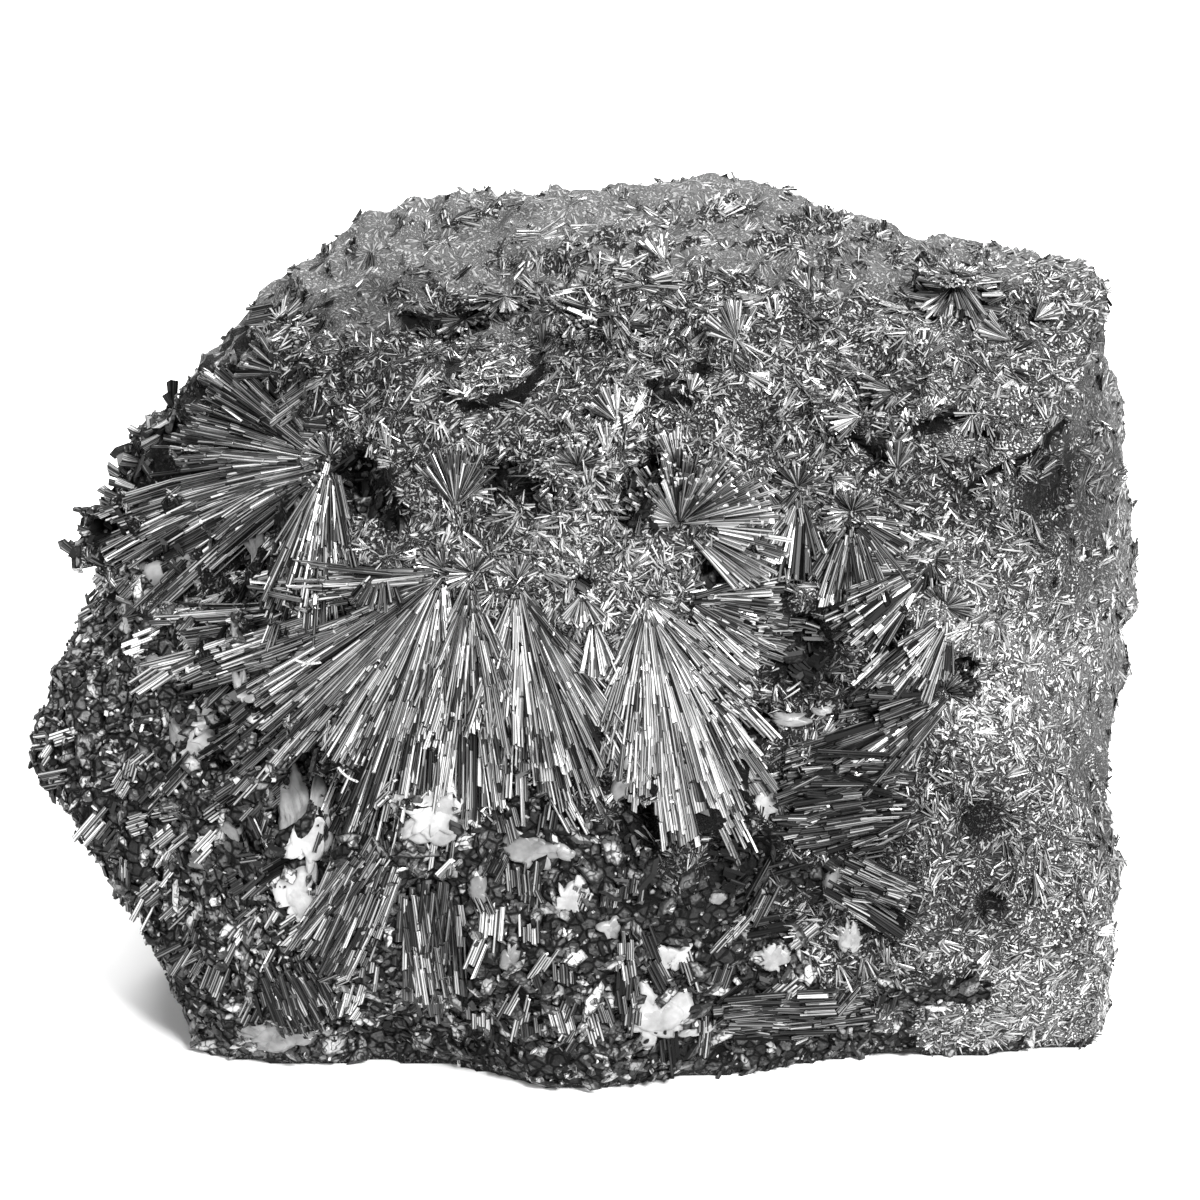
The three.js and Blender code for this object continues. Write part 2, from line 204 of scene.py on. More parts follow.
# Where the block is hollow at the front: middle as (right, up), radius, depth, and how much
# painted shade darkens it there where that isn't the usual.
HOLLOWS = [
    ((5, 47.2), 2.7, 2.4), ((-17.6, 45.6), 2.4, 2), ((10.5, 42.4), 2.4, 1.5),
    ((-38.5, 36), 2, 1), ((15.4, 35), 3.3, 2), ((-9.4, 28.5), 2, 1.6), ((22.5, 15), 2.2, 1.5),
    ((30.6, 14.3), 1.4, 1, 0.35), ((-0.6, 41.2), 0.8, 1), ((11.5, 20.5), 2.8, 1.2),
    ((3.6, 23), 2.6, 1.2), ((25.4, 39), 1.2, 1.2), ((28.4, 31.2), 1.3, 1.4),
    ((34.6, 44.6), 3.2, 1.6, 0.3), ((-6.4, 48), 1.7, 1.2), ((12, 30), 1.8, 1.2),
    ((20, 27), 1.4, 1), ((-3.8, 47.6), 1.5, 1), ((-15, 44.5), 1.6, 1.2),
    ((22.6, 35.6), 1.6, 1.2), ((29.5, 20.5), 1.8, 0.8, 0.35),
]

# Cracks in the druse of the front, as points (right, up). Each is pushed in and darkened with
# painted shade.
CRACKS = [
    [(-10.7, 52.7), (-9.4, 52), (-7.6, 52.3), (-5.6, 52.6), (-3.8, 53.8)],
    [(4.5, 53.4), (7, 53), (8.6, 53.6)],
    [(-14.5, 54.6), (-11.6, 54), (-9.4, 54.6), (-7.4, 55.6)],
    [(18.4, 49.6), (19.8, 48.6), (21.8, 47.6)],
    [(24.6, 49.4), (27.6, 49.8), (30.4, 48.6)],
    [(28.4, 45.4), (30.6, 46.6), (33.4, 47.2), (36, 48.4)],
]

# Nests of white gangue on the front: middle as (right, up), width and height, brightness.
GANGUE = {
    "gangue_left_large": ((-21.8, 21.7), (3.4, 5), 0.95),
    "gangue_left_lower": ((-22.2, 16.6), (3.2, 4.4), 0.95),
    "gangue_left_end": ((-31, 25.2), (3.2, 2.2), 0.8),
    "gangue_middle_large": ((-12, 24.4), (4.6, 4.2), 0.76),
    "gangue_middle": ((-4.5, 21.5), (3.4, 2.4), 0.6),
    "gangue_middle_lower": ((-1.8, 18.2), (2.2, 3), 0.8),
    "gangue_foot_large": ((5, 7.8), (4.2, 4), 0.8),
    "gangue_foot_upper": ((6, 12.2), (2.8, 2), 0.8),
    "gangue_foot_right": ((13.7, 11), (2.4, 1.8), 0.7),
    "gangue_right": ((19.5, 12.8), (1.8, 2.4), 0.7),
    "gangue_foot_left": ((-24.5, 3), (4.2, 2.6), 0.55),
}

# Smaller specks of gangue, in the same way.
SPECKS = [
    ((-30, 26.7), (1.6, 1.2), 0.8), ((-24.3, 28.9), (2.4, 1.2), 0.9),
    ((-18.5, 29.9), (3.4, 0.9), 0.95), ((-14.5, 29.6), (1.6, 1.2), 0.9),
    ((-11.4, 27.5), (1.8, 3), 0.75), ((2.6, 26), (1.8, 3), 0.55),
    ((-2, 21.6), (1.6, 1), 0.7), ((8.3, 5.2), (2.2, 1), 0.8), ((13.1, 23.6), (1.8, 1.5), 0.7),
    ((18.7, 16.8), (1.8, 2.8), 0.6), ((-21.4, 33.9), (2.2, 1), 0.6), ((-23, 32.5), (1.4, 1), 0.7),
    ((-26.3, 30.7), (2.2, 1.2), 0.8), ((-25.6, 39), (3, 1.1), 0.6), ((-32, 35.4), (2, 1.4), 0.8),
    ((-33.7, 33.9), (2.6, 1.2), 0.85), ((-31.8, 42.4), (1, 2), 0.7),
    ((14.8, 30.3), (2.4, 0.8), 0.6), ((17.3, 30.9), (1.6, 0.7), 0.6),
    ((-38.9, 14.8), (1, 1.4), 0.7), ((-16.5, 20.5), (1.6, 3), 0.6),
    ((-27.5, 20.5), (1.8, 2.4), 0.4), ((-8.5, 18.5), (1.6, 2), 0.4),
    ((1.4, 15.5), (1.8, 1.4), 0.45),
    ((-30.5, 17), (2, 1.4), 0.35), ((-17.5, 8), (1.6, 1.2), 0.4), ((-6.2, 13.5), (1.3, 1.8), 0.5),
    ((9.8, 16.8), (1.4, 1.1), 0.6), ((-34.5, 29), (1.4, 1), 0.5), ((16, 8), (1.2, 0.8), 0.6),
]

# Fibres of lint on the needles of the front: how far off the skin each lies, and the start, pull
# and end of its bend as (right, up).
LINT = [
    (1.4, [(-22.2, 34.3), (-21.3, 33.8), (-20.3, 34.1)]),
    (1.0, [(-18.8, 28.1), (-18.4, 27.3), (-17.4, 26.9)]),
]

# Druse of each zone, in tiers of rosettes: how many to a square millimetre, how many needles in
# each, length and width of a needle, most lift in degrees, how bright.
DRUSE = {
    "rim": [(0.3, 22, 1.9, 0.19, 8, 0.66), (1.0, 11, 1.0, 0.2, 12, 0.63)],
    "upper": [(0.24, 24, 2.2, 0.2, 12, 0.62), (1.4, 11, 1.0, 0.19, 16, 0.55)],
    "top": [(0.05, 22, 2.2, 0.26, 5, 0.58), (0.3, 8, 1.1, 0.28, 5, 0.55)],
    "right": [(0.04, 22, 1.9, 0.3, 5, 0.58), (0.5, 7, 1.1, 0.3, 6, 0.56)],
    "left": [(0.9, 6, 1.0, 0.3, 16, 0.42)],
    "back": [(0.04, 20, 2.4, 0.32, 4, 0.56), (0.22, 7, 1.4, 0.34, 5, 0.52)],
}

# Broken pieces of the crumbly part: how many to a square millimetre, least and greatest size,
# thickness as a share of the size, how far they tilt, how bright and how uneven in that.
CHIPS = [
    (0.55, (1.0, 3.0), 0.2, 0.3, 0.6, 0.22),
    (1.25, (0.5, 1.3), 0.35, 0.6, 0.53, 0.28),
    (0.7, (0.25, 0.55), 0.6, 0.5, 0.6, 0.3),
]

# Where the front is darker or, below nothing, brighter without being hollow: middle as
# (right, up), radius and how much.
SHADES = [
    ((12, 20), 10, 0.14), ((26, 18), 9, 0.14), ((20, 33), 6, 0.15), ((-3, 25), 5, 0.1),
    ((34, 50), 12, 0.12), ((34, 17), 10, 0.1), ((1, 45), 6, -0.1), ((-39, 30), 9, -0.16),
    ((-22, 27), 5, -0.1), ((-20, 57), 9, 0.12), ((-32, 50), 5, -0.2), ((-25, 5), 12, -0.12),
    ((36, 39), 6, 0.12), ((-31, 38), 5, -0.12), ((9, 25), 4, 0.1),
]


def seeded(name):
    """A random source of its own for each piece, the same in every run."""
    return np.random.default_rng([SEED, *name.encode()])


def unit(vectors):
    return vectors / np.maximum(np.linalg.norm(vectors, axis=-1, keepdims=True), 1e-9)


def smooth(low, high, values):
    """0 below low, 1 above high and an even curve between them."""
    t = np.clip((values - low) / (high - low), 0, 1)
    return t * t * (3 - 2 * t)


def noise_at(points, size, seed=0):
    """Perlin noise from -1 to 1 with lumps of about that size, at each point."""
    shift = Vector([seed * step for step in NOISE_SHIFT])
    return np.array([noise.noise(Vector(p) / size + shift) for p in points])


# ---------------------------------------------------------------- meshes


def mesh_from(name, corners, faces):
    """A mesh whose faces all have the same number of corners, from arrays in millimetres."""
    mesh = bpy.data.meshes.new(name)
    mesh.vertices.add(len(corners))
    mesh.vertices.foreach_set("co", np.asarray(corners, np.float32).ravel() * MM)
    mesh.loops.add(faces.size)
    mesh.loops.foreach_set("vertex_index", faces.astype(np.int32).ravel())
    mesh.polygons.add(len(faces))
    starts = np.arange(0, faces.size, faces.shape[1], dtype=np.int32)
    mesh.polygons.foreach_set("loop_start", starts)
    mesh.update(calc_edges=True)
    return mesh


def add_map(mesh, name, places):
    """A flat map of the mesh, with a place for each corner of each face."""
    layer = mesh.uv_layers.new(name=name)
    layer.data.foreach_set("uv", np.asarray(places, np.float32).ravel())


def add_piece(name, mesh, material, stands_for=()):
    """Puts a mesh in the scene, as part of the body and in place of the solids it stands for."""
    piece = bpy.data.objects.new(name, mesh)
    bpy.context.scene.collection.objects.link(piece)
    mesh.materials.append(material)
    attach(piece, "root")
    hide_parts(*stands_for)


def store(mesh, name, values):
    """Stores one number for each face, which the materials read by name."""
    layer = mesh.attributes.new(name, "FLOAT", "FACE")
    layer.data.foreach_set("value", np.asarray(values, np.float32))


# ---------------------------------------------------------------- skin

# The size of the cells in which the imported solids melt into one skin, and how far in that skin is.
VOXEL = 0.6
SKIN_INSET = 0.25

# Relief of the skin: the size of its lumps, and how far they stand out or in.
RELIEF = [(6, 0.7), (2.4, 0.5), (1.1, 0.35)]
# Round knobs of the top, and how far up the skin must look for them, a little and fully.
KNOBS = {"size": 3.4, "height": 1.2, "slope": (0.35, 0.75)}
UNDER_A_SPRAY = {"flatter": 0.7, "deeper": 0.3}
# Up to which height the skin stays as flat as it rests, and from which it is fully rough.
SMOOTH_FOOT = (0.3, 2.5)
# How far a face must look forwards before hollows and cracks push it in, a little and fully.
LOOKS_FORWARD = (0.1, 0.5)
# Hollows, cracks and shades lie on the front, and end this far back.
FRONT_ENDS = 2
# Sprays hide the skin up to this far back, and like the bundles they lie only where the outward
# direction of the skin points forwards by more than this.
SPRAYS_END = 5
LOOKS_FRONT = -0.3

# How dark the painted shade in a hollow is, how uneven its outline, and the shares of its
# radius at which it is full and over. A crack and a shade end between such shares too.
HOLLOW = {"shade": 0.65, "lumps": 2.2, "uneven": 0.35, "edge": (0.4, 1.2)}
# A crack: how wide it is, how dark its painted shade is, and the shares of its width at which it is
# full and over.
CRACK = {"width": 0.55, "shade": 0.9, "edge": (0.3, 1)}
SHADE_EDGE = (0.5, 1.3)


class Skin:
    """The closed rough surface that everything else grows on."""

    def __init__(self, corners, faces):
        self.corners = corners
        self.faces = faces
        a, b, c = (corners[faces[:, k]] for k in range(3))
        cross = np.cross(b - a, c - a)
        self.areas = np.linalg.norm(cross, axis=1) / 2
        self.normals = unit(cross)
        self.middles = (a + b + c) / 3
        self.tree = BVHTree.FromPolygons(corners.tolist(), faces.tolist())

    def sample(self, rng, weights, per_mm2):
        """Random points on the faces, in that number to each square millimetre of full weight."""
        share = self.areas * weights
        count = int(share.sum() * per_mm2)
        picked = rng.choice(len(share), size=count, p=share / share.sum())
        s, t = rng.random((2, count, 1))
        over = s + t > 1
        s, t = np.where(over, 1 - s, s), np.where(over, 1 - t, t)
        a, b, c = (self.corners[self.faces[picked, k]] for k in range(3))
        return a + s * (b - a) + t * (c - a), self.normals[picked]

    def within(self, distance, points):
        """Whether each point is no further than that from the skin."""
        return np.array([self.tree.find_nearest(p, distance)[0] is not None for p in points])


class Height:
    """How far the skin stands out on one face of the block, on a grid of rays."""

    STEP = 0.4  # between the rays
    REACH = 70  # of the grid from its middle
    START = 100  # of a ray from the middle of the block
    STEEP = 1.7  # slope at which the skin counts as falling away
    ROUND = 12  # how many cells the edge spreads
    NEAR = 1.0  # how far about a point its slope is measured

    def __init__(self, skin, face):
        self.axes = {k: np.array(v, float) for k, v in FACES[face].items()}
        out, up, right = (self.axes[k] for k in ("out", "up", "right"))
        self.n = int(2 * self.REACH / self.STEP) + 1
        lines = np.linspace(-self.REACH, self.REACH, self.n)
        self.grid = np.full((self.n, self.n), np.nan)
        for i, u in enumerate(lines):
            for j, v in enumerate(lines):
                start = right * u + up * v + out * self.START
                hit = skin.tree.ray_cast(Vector(start), Vector(-out))[0]
                if hit is not None:
                    self.grid[i, j] = np.dot(hit, out)
        self.inside = ~np.isnan(self.grid)
        self._spread_past_the_edge()

    def _spread_past_the_edge(self):
        for _ in range(self.ROUND):
            empty = np.isnan(self.grid)
            for shift, axis in ((1, 0), (-1, 0), (1, 1), (-1, 1)):
                beside = np.roll(self.grid, shift, axis)
                take = empty & np.isnan(self.grid) & ~np.isnan(beside)
                self.grid[take] = beside[take]
        self.grid = np.nan_to_num(self.grid, nan=0.0)

    def _cells(self, u, v):
        i = np.clip((np.asarray(u) + self.REACH) / self.STEP, 0, self.n - 1.001)
        j = np.clip((np.asarray(v) + self.REACH) / self.STEP, 0, self.n - 1.001)
        return i, j

    def at(self, u, v):
        """The height at (right, up), between the rays."""
        i, j = self._cells(u, v)
        a, b = i.astype(int), j.astype(int)
        s, t = i - a, j - b
        g = self.grid
        low = g[a, b] * (1 - s) + g[a + 1, b] * s
        high = g[a, b + 1] * (1 - s) + g[a + 1, b + 1] * s
        return low * (1 - t) + high * t

    def over(self, u, v):
        """Whether there is skin under (right, up)."""
        i, j = self._cells(u, v)
        return self.inside[np.round(i).astype(int), np.round(j).astype(int)]

    def runs_until(self, u, v):
        """How many points of a line lie on the skin before it ends or falls away steeply."""
        ground = self.at(u, v)
        apart = np.hypot(np.diff(u), np.diff(v))
        falls = np.append(False, ground[:-1] - ground[1:] > self.STEEP * apart)
        bad = falls | ~self.over(u, v)
        return int(np.argmax(bad)) if bad.any() else len(bad)

    def place(self, u, v, h):
        """Points in space from right, up and out."""
        u, v, h = (np.asarray(x, float)[..., None] for x in (u, v, h))
        return u * self.axes["right"] + v * self.axes["up"] + h * self.axes["out"]

    def frame_at(self, u, v):
        """A point of the skin with its outward, uphill and rightward directions."""
        east, west = self.at(u + self.NEAR, v), self.at(u - self.NEAR, v)
        north, south = self.at(u, v + self.NEAR), self.at(u, v - self.NEAR)
        along = unit(self.place(2 * self.NEAR, 0, east - west))
        beside = unit(self.place(0, 2 * self.NEAR, north - south))
        out = unit(np.cross(along, beside))
        out *= np.sign(np.dot(out, self.axes["out"]))
        up = unit(self.axes["up"] - out * np.dot(out, self.axes["up"]))
        return self.place(u, v, self.at(u, v)), out, up, np.cross(up, out)


def arrays_of(mesh):
    """Corners in millimetres, their normals, and triangles."""
    mesh.calc_loop_triangles()
    corners = np.empty(len(mesh.vertices) * 3, np.float32)
    mesh.vertices.foreach_get("co", corners)
    normals = np.empty(len(mesh.vertices) * 3, np.float32)
    mesh.vertex_normals.foreach_get("vector", normals)
    faces = np.empty(len(mesh.loop_triangles) * 3, np.int32)
    mesh.loop_triangles.foreach_get("vertices", faces)
    return corners.reshape(-1, 3).astype(float) / MM, normals.reshape(-1, 3), faces.reshape(-1, 3)


def melted():
    """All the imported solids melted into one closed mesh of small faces."""
    corners, faces, start = [], [], 0
    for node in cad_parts.values():
        co, _, tri = arrays_of(node.data)
        corners.append(co)
        faces.append(tri + start)
        start += len(co)
    whole = mesh_from("melting", np.concatenate(corners), np.concatenate(faces))
    lump = bpy.data.objects.new("melting", whole)
    bpy.context.scene.collection.objects.link(lump)
    remesh = lump.modifiers.new("melt", "REMESH")
    remesh.mode = "VOXEL"
    remesh.voxel_size = VOXEL * MM
    shown = lump.evaluated_get(bpy.context.evaluated_depsgraph_get())
    mesh = bpy.data.meshes.new_from_object(shown)
    arrays = arrays_of(mesh)
    bpy.data.objects.remove(lump)
    bpy.data.meshes.remove(whole)
    bpy.data.meshes.remove(mesh)
    return arrays


def hollowed(points):
    """How far the hollows push the front in at each point, and how much painted shade darkens it
    there.
    """
    uneven = 1 + HOLLOW["uneven"] * noise_at(points, HOLLOW["lumps"], NOISE["hollows"])
    front = points[:, 1] < FRONT_ENDS
    depth, shade = np.zeros(len(points)), np.zeros(len(points))
    for (x, z), radius, most, *own in HOLLOWS:
        away = np.hypot(points[:, 0] - x, points[:, 2] - z) / radius * uneven
        share = (1 - smooth(*HOLLOW["edge"], away)) * front
        depth = np.maximum(depth, most * share)
        shade = np.maximum(shade, (own or [HOLLOW["shade"]])[0] * share)
    return depth, shade


def in_a_crack(points):
    """How deep in a crack of the front each point lies, from 0 to 1."""
    spots = points[:, [0, 2]]
    nearest = np.full(len(points), np.inf)
    for line in CRACKS:
        for start, end in zip(line, line[1:]):
            start, step = np.array(start), np.subtract(end, start)
            share = np.clip((spots - start) @ step / (step @ step), 0, 1)
            away = np.linalg.norm(spots - start - share[:, None] * step, axis=1)
            nearest = np.minimum(nearest, away)
    depth = 1 - smooth(*CRACK["edge"], nearest / CRACK["width"])
    return depth * (points[:, 1] < FRONT_ENDS)


def darkness(points):
    """How much darker each point is than the rest: painted shade in hollows and cracks, and the
    darker and brighter parts.
    """
    dark = np.maximum(hollowed(points)[1], CRACK["shade"] * in_a_crack(points))
    front = points[:, 1] < FRONT_ENDS
    for (x, z), radius, shade in SHADES:
        away = np.hypot(points[:, 0] - x, points[:, 2] - z) / radius
        dark = dark + shade * (1 - smooth(*SHADE_EDGE, away)) * front
    return dark


def roughened(corners, normals):
    """The melted skin with lumps, knobs and hollows, and still flat where it rests."""
    push = np.zeros(len(corners))
    for k, (size, height) in enumerate(RELIEF):
        push += height * noise_at(corners, size, NOISE["relief"] + k)
    knob = KNOBS["height"] * (0.5 - 2 * np.abs(noise_at(corners, KNOBS["size"], NOISE["knobs"])))
    push += knob * smooth(*KNOBS["slope"], normals[:, 2])
    hidden = in_a_spray(corners, normals)
    push *= np.where(hidden, 1 - UNDER_A_SPRAY["flatter"], 1)
    push -= np.where(hidden, UNDER_A_SPRAY["deeper"], 0) + SKIN_INSET
    rough = smooth(*SMOOTH_FOOT, corners[:, 2])
    moved = corners + normals * (push * rough)[:, None]
    forward = smooth(*LOOKS_FORWARD, -normals[:, 1])
    moved[:, 1] += np.maximum(hollowed(corners)[0], in_a_crack(corners)) * forward
    moved[:, 2] = np.maximum(moved[:, 2], 0)
    return moved


# ---------------------------------------------------------------- needles

# The corners of a blade run round its foot and then round its tip.
BLADE_FACES = np.array(
    [(0, 1, 5, 4), (1, 2, 6, 5), (2, 3, 7, 6), (3, 0, 4, 7), (3, 2, 1, 0), (4, 5, 6, 7)]
)
# A sliver has an edge for a foot and another edge, square to the first, for a tip.
SLIVER_FACES = np.array([(0, 1, 2), (1, 0, 3), (2, 3, 0), (3, 2, 1)])

# Where each face of one needle lies in its own cell of the bake map.
BLADE_CELL = np.array(
    [
        *([(k / 4, 0), (k / 4 + 0.22, 0), (k / 4 + 0.22, 0.8), (k / 4, 0.8)] for k in range(4)),
        [(0, 0.86), (0.45, 0.86), (0.45, 0.98), (0, 0.98)],
        [(0.5, 0.86), (0.95, 0.86), (0.95, 0.98), (0.5, 0.98)],
    ]
)
SLIVER_CELL = np.array(
    [
        [(0.0, 0), (0.22, 0), (0.11, 0.98)],
        [(0.46, 0), (0.24, 0), (0.35, 0.98)],
        [(0.49, 0.98), (0.71, 0.98), (0.6, 0)],
        [(0.96, 0.98), (0.74, 0.98), (0.85, 0)],
    ]
)
# How far across and along its needle each corner of each face is, for the streaks.
BLADE_STREAKS = np.array([[(0, 0), (1, 0), (1, 1), (0, 1)]] * 4 + [[(0.5, 0)] * 4, [(0.5, 1)] * 4])
SLIVER_STREAKS = np.array(
    [
        [(0, 0), (1, 0), (0.5, 1)],
        [(1, 0), (0, 0), (0.5, 1)],
        [(0, 1), (1, 1), (0.5, 0)],
        [(1, 1), (0, 1), (0.5, 0)],
    ]
)
BLADE = (BLADE_FACES, BLADE_CELL, BLADE_STREAKS)
SLIVER = (SLIVER_FACES, SLIVER_CELL, SLIVER_STREAKS)

# Each needle lies this far from the one before in the streak map, across, and after so many they
# start again, which keeps the streaks sharp.
STREAKS_APART = 3
STREAK_PLACES = 400
# How much of its cell in the bake map a needle leaves free at each side.
CELL_MARGIN = 0.04

# Most height of a blade and of the edges of a sliver, as shares of the width.
BLADE_HEIGHT = 0.75
SLIVER_HEIGHT = 0.8
# How raggedly the foot of a blade breaks, as a share of its tip.
RAGGED_FOOT = 0.5


def across_and_out(along, outward, rolls):
    """Two directions square to each needle, turned about it by its roll."""
    side = unit(np.cross(along, outward))
    out = np.cross(side, along)
    c, s = np.cos(rolls)[:, None], np.sin(rolls)[:, None]
    return side * c + out * s, out * c - side * s


def blades(rng, needles):
    """Four-sided needles with broken ends. Gives their corners, eight to each."""
    feet, tips, width = needles["feet"], needles["tips"], needles["width"][:, None]
    along = unit(tips - feet)
    side, out = across_and_out(along, needles["outward"], needles["roll"])
    high = np.minimum(width * BLADE_HEIGHT, needles["thick"][:, None])
    corners = np.empty((len(feet), 8, 3))
    for k, (s, o) in enumerate(((-1, -1), (1, -1), (1, 1), (-1, 1))):
        corner = side * (s * width / 2) + out * (o * high / 2)
        ragged = (rng.random((len(feet), 1)) - 0.5) * width
        corners[:, k] = feet + corner * needles["taper"][:, None] - along * ragged * RAGGED_FOOT
        corners[:, k + 4] = tips + corner + along * ragged
    return corners.reshape(-1, 3)


def slivers(rng, needles):
    """Thin needles of four faces, half of them pointed and half with a broad tip."""
    feet, tips, half = needles["feet"], needles["tips"], needles["width"][:, None] / 2
    along = unit(tips - feet)
    side, out = across_and_out(along, needles["outward"], needles["roll"])
    pointed = rng.random((len(feet), 1)) < 0.5
    foot_edge = np.where(pointed, side, -out * SLIVER_HEIGHT) * half
    tip_edge = np.where(pointed, out * SLIVER_HEIGHT, side) * half
    slant = along * (rng.random((len(feet), 1)) - 0.5) * half * 2
    corners = [feet - foot_edge, feet + foot_edge, tips - tip_edge + slant, tips + tip_edge]
    return np.stack(corners, 1).reshape(-1, 3)


def repeated(pattern, count):
    """The faces of count needles that follow one another in the list of corners."""
    step = pattern.max() + 1
    return (pattern[None] + np.arange(count)[:, None, None] * step).reshape(-1, pattern.shape[1])


def for_each(values, each):
    """A value of each rosette or bundle, once for each of its needles."""
    return np.repeat(values, each, axis=0)


def many_mesh(name, corners, shape, lengths, widths, tones):
    """One mesh of many small solids, each with its brightness, its streaks and its bake cell."""
    pattern, cell, streaks = shape
    count = len(lengths)
    corners[:, 2] = np.maximum(corners[:, 2], 0)
    mesh = mesh_from(name, corners, repeated(pattern, count))
    mesh.shade_flat()
    store(mesh, "tone", np.repeat(tones, len(pattern)))
    store(mesh, "wide", np.repeat(widths, len(pattern)))
    along = np.ones((count, 1, 1, 2))
    along[..., 1] = np.asarray(lengths)[:, None, None]
    shift = np.zeros((count, 1, 1, 2))
    number = np.arange(count)
    shift[..., 0] = (number % STREAK_PLACES * STREAKS_APART)[:, None, None]
    add_map(mesh, "streaks", streaks[None] * along + shift)
    side = math.ceil(math.sqrt(count))
    corner = np.stack([number % side, number // side], 1)[:, None, None, :]
    inner = CELL_MARGIN + cell[None] * (1 - 2 * CELL_MARGIN)
    add_map(mesh, "OFBake", (corner + inner) / side)
    return mesh


def needle_mesh(name, rng, needles, build, shape):
    """One mesh of a set of needles, built as blades or slivers."""
    lengths = np.linalg.norm(needles["tips"] - needles["feet"], axis=1)
    return many_mesh(name, build(rng, needles), shape, lengths, needles["width"], needles["tone"])


def joined(parts):
    """Several sets of needles as one."""
    return {key: np.concatenate([part[key] for part in parts]) for key in parts[0]}


def only(kept, needles):
    """The needles of a set that are kept."""
    return {key: values[kept] for key, values in needles.items()}


def needle_set(rng, looks, feet, tips, width, tone, outward):
    """A set of needles that vary as their looks say."""
    count = len(feet)
    return {
        "feet": feet, "tips": tips, "width": width,
        "roll": rng.normal(0, looks["roll_varies"], count),
        "tone": tone + rng.normal(0, looks["tone_varies"], count),
        "taper": np.full(count, looks["taper"]), "thick": width * looks["thick"],
        "outward": np.broadcast_to(outward, (count, 3)),
    }


def needles_from(height, rows):
    """A set of needles from rows of foot, tip, width, roll, tone, taper and thickness."""
    feet, tips, width, roll, tone, taper, thick = (np.array(c, float) for c in zip(*rows))
    return {
        "feet": height.place(*feet.T), "tips": height.place(*tips.T), "width": width, "roll": roll,
        "tone": tone, "taper": taper, "thick": thick,
        "outward": np.broadcast_to(height.axes["out"], (len(width), 3)),
    }


# ---------------------------------------------------------------- sprays

# A lying spray has a sheet of broad slats below and layers of strands of narrow needles above.
# Where nothing else is said, a pair is the least and the greatest. What ends in _varies is a
# standard deviation: "roll" of the turn about its own length, in radians, "tone" of brightness.

# Slats: their width at the mean length of the spray and how it grows outwards, how often they
# cover the area if each fills that share of its length, and how much duller they are.
SHEET = {
    "width": 1.1, "widens": 1.3, "narrowest": 0.3, "thick": 0.22, "cover": 1.5, "fills": 0.6,
    "begin": (0.3, 1), "begin_per_spread": 0.6, "reach": (0.55, 0.92),
    "pieces": (2, 5), "least_piece": 0.6,
    "rise": 0.12, "rise_by": (-0.15, 0.2), "duller": 0.06,
    "roll_varies": 0.12, "tone_varies": 0.08, "piece_tone_varies": 0.05,
}
# Layers of strands, from the lowest: how often they cover the area, and how near to the full
# length of the spray they break off.
LAYERS = [(2.6, 0.72, 1.12), (2.2, 0.55, 1.04), (1.4, 0.3, 0.9)]
LAYER_STEP = 0.22
# Strands lie up to so many degrees beyond the outer ribs. For their number, each counts as so many
# needles wide, over that share of its length. The outside share of them begins anywhere up to
# far_out of its length, more often far out than near, and the others begin near the heart.
PLAN = {
    "beyond": 3, "wide": 5, "fills": 0.5, "near": (0.8, 2), "outside": 0.6, "outward": 1.6,
    "far_out": 0.75,
}
# Strands: how far apart the needles are in their widths, by how many degrees they part or close,
# and how often a strand that crosses a grain of gangue is left out.
STRAND = {
    "needles": (3, 8), "apart": (0.95, 1.1), "shortest": 1.5, "parts": 1.2,
    "left_out_on_grain": 0.75, "rise": 0.22, "rise_by": (-0.1, 0.12), "begin_by": (-0.4, 0.8),
    "roll_varies": 0.22, "tone_varies": 0.08, "reach_varies": 0.12, "lift_varies": 0.04,
}
# How much of the unevenness of the ground raises a strand, and up to which unevenness.
CLEARS_GROUND = (0.4, 0.6)
# Pieces of a needle. The last one takes up what is too short for another.
PIECE = {
    "length": (1.5, 7), "least": 0.7, "rest": 0.8, "gap": (0, 0.15), "taper": 0.85,
    "width": (0.5, 1.5), "roll_varies": 0.2, "tone_varies": 0.07,
}
# How much brighter or duller the odd piece is, and how often.
ODD_TONES = [0.3, -0.35, 0]
ODD_SHARES = [0.07, 0.12, 0.81]
# The needles of a strand lie closer at the heart, and are apart from that share of the length on.
GATHERS = {"least": 0.3, "until": 0.6}


def spray_shape(spray):
    """Clock angles and lengths of the ribs of a spray."""
    return np.array(spray["ribs"], float).T


def spray_area(spray):
    """Area that a lying spray covers, with what lies beyond its outer ribs."""
    clocks, lengths = spray_shape(spray)
    mean = lengths.mean()
    angle = math.radians(clocks.max() - clocks.min() + 2 * PLAN["beyond"])
    return mean * (spray.get("spread", 0) + angle * mean / 2)


